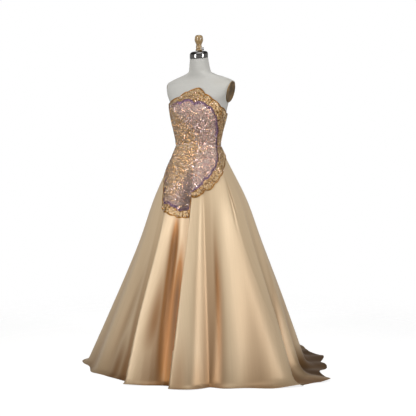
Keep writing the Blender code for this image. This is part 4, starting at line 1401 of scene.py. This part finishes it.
def dusk(angle, height):
    """How strongly painted shade shows on the overlay beside its two folds: Gaussians across, stronger lower
    down.
    """
    turned = wrapped(angle)
    inner = np.exp(-(((turned + 78) / 7.5) ** 2)) * np.clip((1.02 - height) / 0.16, 0, 1)
    outer = np.exp(-(((turned + 124) / 9.0) ** 2)) * np.clip((1.00 - height) / 0.12, 0, 1) * 0.7
    return np.maximum(inner, outer)


# Up to which direction the glitter cloth is bronze, by height.
WARM_HEIGHTS = (0.740, 0.800, 0.900, 1.000, 1.080, 1.140, 1.200, 1.260, 1.310)
WARM_REACH = (-150.0, -114.0, -92.0, -72.0, -62.0, -76.0, -98.0, -135.0, -190.0)


def warmth(angle, height):
    """How bronze the glitter cloth is: full on the right of a line that runs down the front, none on its
    left, and full again under the lace."""
    turned = wrapped(angle)
    reach = curve(height, WARM_HEIGHTS, WARM_REACH)
    lace = ((turned > -4) | (turned < -178)).astype(float)
    return np.maximum(np.clip((reach - turned) / 36 + 0.5, 0, 1), lace)


class GOWN_OT_lace(bpy.types.Operator):
    """Makes the gold lace along the neckline, the sides, the back and the overlay's edge"""

    bl_idname = "gown.lace"
    bl_label = "Gold lace"

    def execute(self, context):
        material = lace_ground(context.scene.gown_colours)
        up = np.linspace(0, 1, 60)[:, None]
        angle = np.linspace(-175, SIDE_ANGLE, 260)[None, :]
        low, high = field_top(angle), neckline(angle)
        angle, height = np.broadcast_arrays(angle, low + (high - low) * up[::3])
        self.piece("lace_neckline_band", on_form(angle, height, LACE_ON_BODICE), material, "lace_neckline")
        foot = WAIST + 0.001
        level = foot + (neckline(np.array(SIDE_ANGLE)) - WAIST) * up
        for name, start, end, node in (
            ("lace_left_side", field_side(level), BACK, "lace_side_left"),
            ("lace_right_back", BACK, 185, "lace_back_right"),
        ):
            angle = start + (end - start) * np.linspace(0, 1, 120)[None, :]
            angle, height = np.broadcast_arrays(angle, foot + (neckline(angle) - foot) * up)
            points = trimmed(on_form(angle, height, LACE_ON_BODICE), LACE_SEAM_GAP)
            self.piece(name, points, material, node)
        angle = spaced(OVERLAY_EDGE[0].angle, OVERLAY_EDGE[-1].angle, 300, 0.3, 0.5)[None, :]
        edge, top = overlay_edge(angle), lace_top(angle)
        angle, height = np.broadcast_arrays(angle, edge + (top - edge) * up[::3])
        points = over_hips(angle, height, LACE_ON_SKIRT)
        self.piece("lace_overlay_band", points, material, "overlay_lace")
        return {"FINISHED"}

    def piece(self, name, points, material, node):
        """One lace piece in place of a node, sewn flat on the cloth under it."""
        faces = grid_faces(*points.shape[:2])
        made = put_mesh(name, points, faces, material, "gold_lace", (node,), uv=cloth_uv(points))
        thickened(made, LACE_WALL)
        declare(points)


def tube(path, out, radius, sides=6, loop=False):
    """Points and faces of a cord: rings of points round a path, radius * (cos t * out + sin t * side), where
    side is square to the path and to the outward direction."""
    ahead = np.roll(path, -1, 0) - np.roll(path, 1, 0)
    if not loop:
        ahead[0], ahead[-1] = path[1] - path[0], path[-1] - path[-2]
    side = unit(np.cross(ahead, out))
    turn = np.linspace(0, 2 * np.pi, sides, endpoint=False)[None, :, None]
    points = path[:, None] + radius * (np.cos(turn) * out[:, None] + np.sin(turn) * side[:, None])
    faces = grid_faces(len(path), sides, True)
    if loop:
        first = np.arange(sides)
        last = (len(path) - 1) * sides + first
        closing = np.stack([last, np.roll(last, -1), np.roll(first, -1), first], axis=1)
        faces = np.concatenate([faces, closing])
    return points.reshape(-1, 3), faces


def joined(parts):
    """One array of points and one of faces from several."""
    counts = np.cumsum([0] + [len(points) for points, faces in parts])
    return (
        np.concatenate([points for points, faces in parts]),
        np.concatenate([faces + start for (points, faces), start in zip(parts, counts)]),
    )


def spindle(rings, sides, width, thickness):
    """A leaf or bead of unit length along Y: rings of points whose half width and half thickness follow
    sin(pi t)^0.7, closed by a point at each end. Its faces are triangles."""
    t = (np.arange(1, rings + 1) / (rings + 1))[:, None]
    swell = np.sin(np.pi * t) ** 0.7
    turn = np.linspace(0, 2 * np.pi, sides, endpoint=False)[None, :]
    x, z = width * swell * np.cos(turn), thickness * swell * np.sin(turn)
    points = np.stack(np.broadcast_arrays(x, t, z), axis=-1)
    points = np.concatenate([points.reshape(-1, 3), [(0, 0, 0), (0, 1, 0)]])
    quads = grid_faces(rings, sides, True)
    last = (rings - 1) * sides
    near = fan(sides, 0, rings * sides)
    far = fan(sides, last, rings * sides + 1)[:, ::-1]
    return points, np.concatenate([quads[:, 1:], quads[:, [0, 1, 3]], near, far])


def ring_points(radius, height, turn=0.0):
    """Six points of a level ring."""
    angle = np.radians(np.arange(6) * 60.0) + turn
    return np.stack([radius * np.cos(angle), radius * np.sin(angle), np.full(6, height)], axis=1)


def fan(sides, start, tip):
    """The triangles from a ring of points to one tip."""
    ring = np.arange(sides)
    return np.stack([start + ring, start + np.roll(ring, -1), np.full(sides, tip)], axis=1)


def gem(table=0.55, crown=0.35, depth=0.3):
    """A cut stone of unit radius: a girdle of six points, a smaller table above it and a point below."""
    points = np.concatenate([ring_points(1.0, 0.0), ring_points(table, crown, math.pi / 6), [(0, 0, -depth)]])
    ring = np.arange(6)
    after = np.roll(ring, -1)
    flat = np.array([(6, 7, 8), (6, 8, 9), (6, 9, 10), (6, 10, 11)])
    sides = np.stack([ring, after, ring + 6], axis=1), np.stack([after, after + 6, ring + 6], axis=1)
    return points, np.concatenate([*sides, flat, fan(6, 0, 12)[:, [1, 0, 2]]])


def spangle(rise=0.42):
    """A sequin of unit radius: a shallow cone of six facets over a flatter one."""
    points = np.concatenate([ring_points(1.0, 0.0), [(0, 0, rise), (0, 0, -0.1)]])
    return points, np.concatenate([fan(6, 0, 6), fan(6, 0, 7)[:, [1, 0, 2]]])


class Spots(NamedTuple):
    """Places on the cloth: points, directions across, along and out of it, and the surface's coordinates."""

    centre: np.ndarray
    across: np.ndarray
    along: np.ndarray
    out: np.ndarray
    angle: np.ndarray
    height: np.ndarray

    def where(self, mask):
        """The spots that a mask keeps."""
        return Spots(*(column[mask] for column in self))


def up_cloth(out):
    """Directions up the cloth: straight up, less its share along the outward direction."""
    rise = np.broadcast_to((0.0, 0.0, 1.0), out.shape)
    return unit(rise - out * np.sum(rise * out, axis=-1, keepdims=True))


def spots_from(centre, out, angle, height):
    """Spots whose along direction is the one up the cloth."""
    along = up_cloth(out)
    return Spots(centre, np.cross(along, out), along, out, angle, height)


def bodice_spots(angle, height, lift):
    """Spots on the form, a lift out from it."""
    out = normals(form_surface, angle, height)
    return spots_from(form_surface(angle, height) + out * lift, out, angle, height)


def overlay_spots(angle, height, lift):
    """Spots on the skirt, a lift out from it, by the height of its cone."""
    share = share_at(angle, height)
    out = -normals(skirt_surface, angle, share)
    return spots_from(skirt_surface(angle, share) + out * lift, out, angle, height)


def net(width, height, step, chance, jitter=0.3):
    """Places of a triangular net over a rectangle, each moved a little at random."""
    rows, columns = int(height / (step * NET_ROW)), int(width / step)
    y, x = np.mgrid[0:rows, 0:columns].astype(float)
    x += 0.5 * (y % 2)
    x += chance.uniform(-jitter, jitter, x.shape)
    y += chance.uniform(-jitter, jitter, y.shape)
    return x.ravel() * step, y.ravel() * step * NET_ROW


def bodice_net(step, chance, jitter=0.3):
    """A net over the bodice, taken as a cylinder."""
    x, y = net(2 * np.pi * BODICE_RADIUS, 0.30, step, chance, jitter)
    return wrapped(np.degrees(x / BODICE_RADIUS) % 360), WAIST + y


def overlay_net(step, chance, jitter=0.3):
    """A net over the hips: the skirt's cone laid flat, so that flat places turn into angle and height."""
    slant = math.hypot(1.0, SLOPE) / SLOPE
    x, y = net(2.0, 2.0, step, chance, jitter)
    x, y = x - 1.0, y - 1.0
    radius = np.hypot(x, y) / slant
    turned = np.degrees(np.arctan2(y, x)) * slant
    height = WAIST - (radius - WAIST_RADIUS) / SLOPE
    keep = (np.abs(turned) < 180) & (height < WAIST) & (height > 0.6)
    return turned[keep] + NET_MIDDLE, height[keep]


def strewn(name, shape, spots, size, material, slot, chance, tilt, turn=None):
    """Copies of one small shape at many places: each point is centre + size * (x across + y along + z out),
    the three directions first turned about the outward one and tilted a little at random."""
    shape_points, shape_faces = shape
    count = len(spots.angle)
    turn = chance.uniform(0, 2 * np.pi, count) if turn is None else turn
    out = unit(spots.out + tilt * chance.normal(size=(count, 3)))
    cos, sin = np.cos(turn)[:, None], np.sin(turn)[:, None]
    first = spots.across * cos + spots.along * sin
    first = unit(first - out * np.sum(first * out, axis=1, keepdims=True))
    axes = np.stack([first, np.cross(out, first), out], axis=1)
    size = np.broadcast_to(size, (count,))[:, None, None]
    points = spots.centre[:, None] + size * np.einsum("kj,njc->nkc", shape_points, axes)
    faces = shape_faces[None] + (np.arange(count) * len(shape_points))[:, None, None]
    put_mesh(name, points, faces.reshape(-1, 3), material, slot, smooth=False)


def in_bodice_field(angle, height, margin=0.003):
    """Whether a place is on the bodice's glitter cloth, clear of the lace."""
    inside = (angle > -174) & (angle < field_side(height) - 1.0) & (height > WAIST + 0.0035)
    return inside & (height < field_top(angle) - margin)


def in_bodice_lace(angle, height, margin):
    """Whether a place is on the bodice's lace, clear of its edges by a margin."""
    below = (height < neckline(angle) - margin) & (height > WAIST + margin)
    front = (angle < SIDE_ANGLE) & (angle > -175) & (height > field_top(angle) + margin)
    return below & (front | (angle > field_side(height) + 2.0) | (angle < -176))


def in_overlay(angle, height, margin=0.003):
    """Whether a place is on the overlay or its lace, clear of the edge by a margin."""
    inside = (angle > -174) & (angle < 38) & (height < WAIST - 0.001)
    return inside & (height > overlay_edge(angle) + margin)


def lace_spots(step, chance, jitter, margins, lift):
    """Places of a net over the lace, first the bodice's and then the hips', each with its name. The margins
    are the ones to the bodice's lace, to the overlay's edge and to the top of the lace band."""
    to_edges, to_edge, to_top = margins
    angle, height = bodice_net(step, chance, jitter)
    keep = in_bodice_lace(angle, height, to_edges)
    yield "bodice", bodice_spots(angle[keep], height[keep], LACE_ON_BODICE + lift)
    angle, height = overlay_net(step, chance, jitter)
    keep = in_overlay(angle, height, to_edge) & (height < lace_top(angle) - to_top)
    yield "hip", overlay_spots(angle[keep], height[keep], LACE_ON_SKIRT + lift)


def field_edges():
    """The two runs of the line round the glitter cloth: (points, outward directions) on the bodice, and the
    same over the hips."""
    angle = np.linspace(-175, SIDE_ANGLE, 420)
    top = bodice_spots(angle, field_top(angle), LACE_ON_BODICE)
    height = np.linspace(SIDE_HEIGHTS[-1], WAIST + 0.003, 120)
    side = bodice_spots(field_side(height), height, LACE_ON_BODICE)
    angle = spaced(-175, -11, 620, 0.3, 0.5)
    hips = overlay_spots(angle, lace_top(angle), LACE_ON_SKIRT)
    bodice = np.concatenate([top.centre, side.centre]), np.concatenate([top.out, side.out])
    return bodice, (hips.centre, hips.out)


def lace_edges():
    """The outer scalloped edges: the neckline as a loop, and the overlay's edge."""
    angle = np.linspace(-175, 185, 900, endpoint=False)
    neck = bodice_spots(angle, neckline(angle) - 0.0008, LACE_ON_BODICE)
    angle = spaced(-175.5, 39.5, 900, 0.3, 0.5)
    hips = overlay_spots(angle, overlay_edge(angle) + 0.0008, LACE_ON_SKIRT)
    return (neck.centre, neck.out), (hips.centre, hips.out)


# How far inside the outer cord the thinner one runs, and the braid's radius.
CORD_STEP = 0.0036
BRAID_RADIUS = 0.0011


class GOWN_OT_cords(bpy.types.Operator):
    """Makes the gold cords along the scallops and the violet braid round the glitter cloth"""

    bl_idname = "gown.cords"
    bl_label = "Cords and braid"

    def execute(self, context):
        colours, sizes = context.scene.gown_colours, context.scene.gown_sizes
        gold = shiny("gold_cord", colours.cord, 0.34, 0.75, 0.35, 500.0)
        violet = shiny("violet_braid", colours.violet, 0.35, 0.45, 0.6, 420.0)
        (neck, neck_out), (hips, hips_out) = lace_edges()
        inner_neck = neck - CORD_STEP * up_cloth(neck_out)
        inner_hips = hips + CORD_STEP * up_cloth(hips_out)
        cords = [tube(neck, neck_out, sizes.cord, 6, True), tube(hips, hips_out, sizes.cord, 6)]
        self.made("gold_cords", cords, gold)
        thin = sizes.cord * 0.7
        cords = [tube(inner_neck, neck_out, thin, 5, True), tube(inner_hips, hips_out, thin, 5)]
        self.made("gold_inner_cords", cords, gold)
        self.made("violet_braids", [tube(*edge, BRAID_RADIUS, 6) for edge in field_edges()], violet)
        return {"FINISHED"}

    def made(self, name, parts, material):
        """One piece from several cords, their ends closed."""
        close_ends(put_mesh(name, *joined(parts), material, "gold_lace"))


# Leaves of a lobe's fan for each degree of its width, and how far inside the edge their tips end.
LEAVES_PER_DEGREE = 0.42
LEAF_INSIDE = 0.0055


class GOWN_OT_motifs(bpy.types.Operator):
    """Makes the raised flowers and fans of the gold lace"""

    bl_idname = "gown.motifs"
    bl_label = "Lace motifs"

    def execute(self, context):
        colours, sizes = context.scene.gown_colours, context.scene.gown_sizes
        chance = np.random.default_rng(7)
        thread = shiny("gold_thread", colours.petal, 0.34, 0.55, 0.45, 700.0)
        petal = spindle(3, 6, 0.20, 0.10)
        for place, spots in lace_spots(0.0165, chance, 0.16, (0.006, 0.007, 0.006), LACE_WALL / 2):
            self.flowers(f"{place}_flowers", spots, sizes.petal * 0.62, petal, thread, chance)
        neck = self.fans(NECKLINE, 1, bodice_spots, LACE_ON_BODICE + LACE_WALL / 2, chance)
        hips = self.fans(OVERLAY_EDGE, -1, overlay_spots, LACE_ON_SKIRT + LACE_WALL / 2, chance)
        self.leaves("lobe_fans", [*neck, *hips], thread, chance)
        return {"FINISHED"}

    def flowers(self, name, spots, size, petal, material, chance):
        """Five petals round each place, every flower turned at random."""
        start = chance.uniform(0, 2 * np.pi, len(spots.angle))
        five = Spots(*(np.repeat(column, 5, axis=0) for column in spots))
        turn = np.repeat(start, 5) + np.tile(np.arange(5) * 2 * np.pi / 5, len(spots.angle))
        strewn(name, petal, five, size, material, "gold_lace", chance, 0.05, turn)

    def fans(self, rows, way, spots, lift, chance):
        """Leaves that spread like a fan to the edge of each lobe: each goes from a point well inside the
        lace, drawn in towards the middle of its lobe, to a point just inside the edge."""
        for start, end in zip(rows[:-1], rows[1:]):
            width = end.angle - start.angle
            count = max(3, int(abs(width) * LEAVES_PER_DEGREE))
            t = (np.arange(count) + 0.5) / count
            tip = start.angle + width * t
            root = start.angle + width * (0.5 + 0.5 * (t - 0.5))
            depth = chance.uniform(0.015, 0.023, count)
            tips = spots(tip, scalloped(tip, rows, way) - way * LEAF_INSIDE, lift)
            roots = spots(root, scalloped(root, rows, way) - way * (LEAF_INSIDE + depth), lift)
            yield roots, tips.centre - roots.centre

    def leaves(self, name, pairs, material, chance):
        """Leaves laid from roots along given steps."""
        roots = Spots(*(np.concatenate(columns) for columns in zip(*(root for root, step in pairs))))
        steps = np.concatenate([step for root, step in pairs])
        side = unit(np.cross(steps, roots.out))
        turn = np.arctan2(np.sum(side * roots.along, axis=1), np.sum(side * roots.across, axis=1))
        size = np.linalg.norm(steps, axis=1)
        strewn(name, spindle(3, 6, 0.085, 0.05), roots, size, material, "gold_lace", chance, 0.02, turn)


class GOWN_OT_stones(bpy.types.Operator):
    """Strews sequins, cut stones and beads over the glitter cloth and the lace"""

    bl_idname = "gown.stones"
    bl_label = "Sequins, stones and beads"

    def execute(self, context):
        colours, sizes = context.scene.gown_colours, context.scene.gown_sizes
        chance = np.random.default_rng(11)
        kinds = {
            "mauve": shiny("mauve_sequin", (0.70, 0.45, 0.41), 0.20, 0.85, 0.3, 260.0),
            # Dark sequins that paint shade beside the overlay's folds.
            "dusk": shiny("dusk_sequin", (0.20, 0.125, 0.11), 0.32, 0.6, 0.3, 260.0),
            "violet": shiny("violet_sequin", (0.33, 0.17, 0.32), 0.22, 0.80, 0.4, 260.0),
            "gold": shiny("gold_sequin", (0.94, 0.62, 0.31), 0.18, 0.95, 0.3, 260.0),
            "pale": shiny("pale_sequin", colours.crystal, 0.12, 0.9, 0.15, 260.0),
        }
        angle, height = bodice_net(0.0034, chance)
        keep = in_bodice_field(angle, height)
        lift = BODICE_MIDDLE + BODICE_WALL / 2 + SEQUIN_LIFT
        bodice = bodice_spots(angle[keep], height[keep], lift)
        angle, height = overlay_net(0.0034, chance)
        keep = in_overlay(angle, height) & (height > lace_top(angle) + 0.0015)
        lift = OVERLAY_OUT + OVERLAY_WALL / 2 + SEQUIN_LIFT
        hips = overlay_spots(angle[keep], height[keep], lift)
        for place, spots, line in (("bodice", bodice, bodice_line), ("hips", hips, hip_line)):
            self.sequins(place, spots, line(spots.angle, spots.height), sizes.sequin, kinds, chance)
        for place, spots in (("bodice", bodice), ("hips", hips)):
            self.crystals(place, spots, sizes.crystal, kinds, chance)
        gold_bead = shiny("gold_bead", (0.80, 0.50, 0.20), 0.22, 1.0, 0.3, 300.0)
        self.beads(chance, sizes, gold_bead, kinds["pale"])
        return {"FINISHED"}

    def sequins(self, place, spots, line, radius, kinds, chance):
        """Sequins of five colours by chance: violet along the line, gold where the cloth is warm, pale ones
        all over, dark ones that paint the shade beside the overlay's folds, and mauve for the rest."""
        count = len(spots.angle)
        warm = warmth(spots.angle, spots.height)
        draw = chance.uniform(size=count)
        violet = line > chance.uniform(0.15, 0.9, count)
        pale = (draw > 0.86) & ~violet
        gold = (draw < 0.18 + 0.60 * warm) & ~pale & ~violet
        mauve = ~pale & ~gold & ~violet
        # Painted shade: beside the overlay's folds, dark sequins take the place of the other kinds.
        shade = (chance.uniform(size=count) < dusk(spots.angle, spots.height) * 0.8) & (place == "hips")
        masks = {"pale": pale, "gold": gold, "mauve": mauve, "violet": violet}
        masks = {kind: mask & ~shade for kind, mask in masks.items()}
        for kind, mask in {**masks, "dusk": shade}.items():
            if not mask.any():
                continue
            some = spots.where(mask)
            size = radius * chance.uniform(0.8, 1.25, len(some.angle))
            name = f"{place}_{kind}_sequins"
            strewn(name, spangle(), some, size, kinds[kind], "violet_glitter", chance, 0.34)

    def crystals(self, place, spots, radius, kinds, chance):
        """Larger stones over the sequins: a pale one at one place in thirty, and a gold one at one in forty,
        or at one in thirteen on the warm side."""
        draw = chance.uniform(size=len(spots.angle))
        warm = warmth(spots.angle, spots.height)
        for kind, mask in (("pale", draw < 0.034), ("gold", draw > 0.975 - 0.05 * warm)):
            some = spots.where(mask)
            some = some._replace(centre=some.centre + some.out * 0.0009)
            size = radius * chance.uniform(0.6, 1.15, len(some.angle))
            strewn(f"{place}_{kind}_stones", gem(), some, size, kinds[kind], "violet_glitter", chance, 0.15)

    def beads(self, chance, sizes, material, pale):
        """Round beads strewn over the lace, with a pale stone at about one bead in six."""
        points, faces = spindle(2, 6, 0.5, 0.5)
        bead = points - (0, 0.5, 0), faces
        lift = LACE_WALL / 2 + sizes.bead * 0.4
        places = list(lace_spots(0.0062, chance, 0.4, (0.003, 0.003, 0.003), lift))
        for place, spots in places:
            strewn(f"{place}_lace_beads", bead, spots, 1.6 * sizes.bead, material, "gold_lace", chance, 0.3)
        for place, spots in places:
            some = spots.where(chance.uniform(size=len(spots.angle)) < 0.16)
            size = sizes.crystal * chance.uniform(0.9, 1.4, len(some.angle))
            strewn(f"{place}_lace_stones", gem(), some, size, pale, "gold_lace", chance, 0.25)


class GOWN_OT_zip(bpy.types.Operator):
    """Finishes the zip: its tapes, slider and pull"""

    bl_idname = "gown.zip"
    bl_label = "Zip"

    def execute(self, context):
        paint_nodes(("zip_tape_bodice", "zip_tape_skirt"), tape_cloth())
        brass = metal("zip_metal", (0.62, 0.47, 0.25), 0.22, scale=(900.0, 200.0, 200.0))
        paint_nodes(("zip_slider", "zip_pull"), brass)
        return {"FINISHED"}


class GOWN_PT_panel(bpy.types.Panel):
    """Lists the gown's pieces and their colours and sizes"""

    bl_label = "Evening gown"
    bl_idname = "GOWN_PT_panel"
    bl_space_type = "VIEW_3D"
    bl_region_type = "UI"
    bl_category = "Gown"

    def draw(self, context):
        layout = self.layout
        for step in STEPS:
            layout.operator(step.bl_idname)
        for name, group in GROUPS:
            box = layout.box()
            for label in group.__annotations__:
                box.prop(getattr(context.scene, name), label)


STEPS = (
    GOWN_OT_stage,
    GOWN_OT_form,
    GOWN_OT_skirt,
    GOWN_OT_bodice,
    GOWN_OT_lace,
    GOWN_OT_cords,
    GOWN_OT_motifs,
    GOWN_OT_stones,
    GOWN_OT_zip,
)
GROUPS = (
    ("gown_colours", GownColours),
    ("form_colours", FormColours),
    ("gown_sizes", GownSizes),
    ("gown_stage", StageLook),
)


def register():
    """Adds the settings, the operators and the panel."""
    for label, group in GROUPS:
        bpy.utils.register_class(group)
        setattr(bpy.types.Scene, label, bpy.props.PointerProperty(type=group))
    for made in (*STEPS, GOWN_PT_panel):
        bpy.utils.register_class(made)


def unregister():
    """Takes them away again."""
    for made in (*STEPS, GOWN_PT_panel):
        bpy.utils.unregister_class(made)
    for label, group in GROUPS:
        delattr(bpy.types.Scene, label)
        bpy.utils.unregister_class(group)


def main():
    """Makes every piece in order."""
    register()
    bpy.ops.gown.stage()
    bpy.ops.gown.form()
    bpy.ops.gown.skirt()
    bpy.ops.gown.bodice()
    bpy.ops.gown.lace()
    bpy.ops.gown.cords()
    bpy.ops.gown.motifs()
    bpy.ops.gown.stones()
    bpy.ops.gown.zip()


if __name__ == "__main__":
    main()
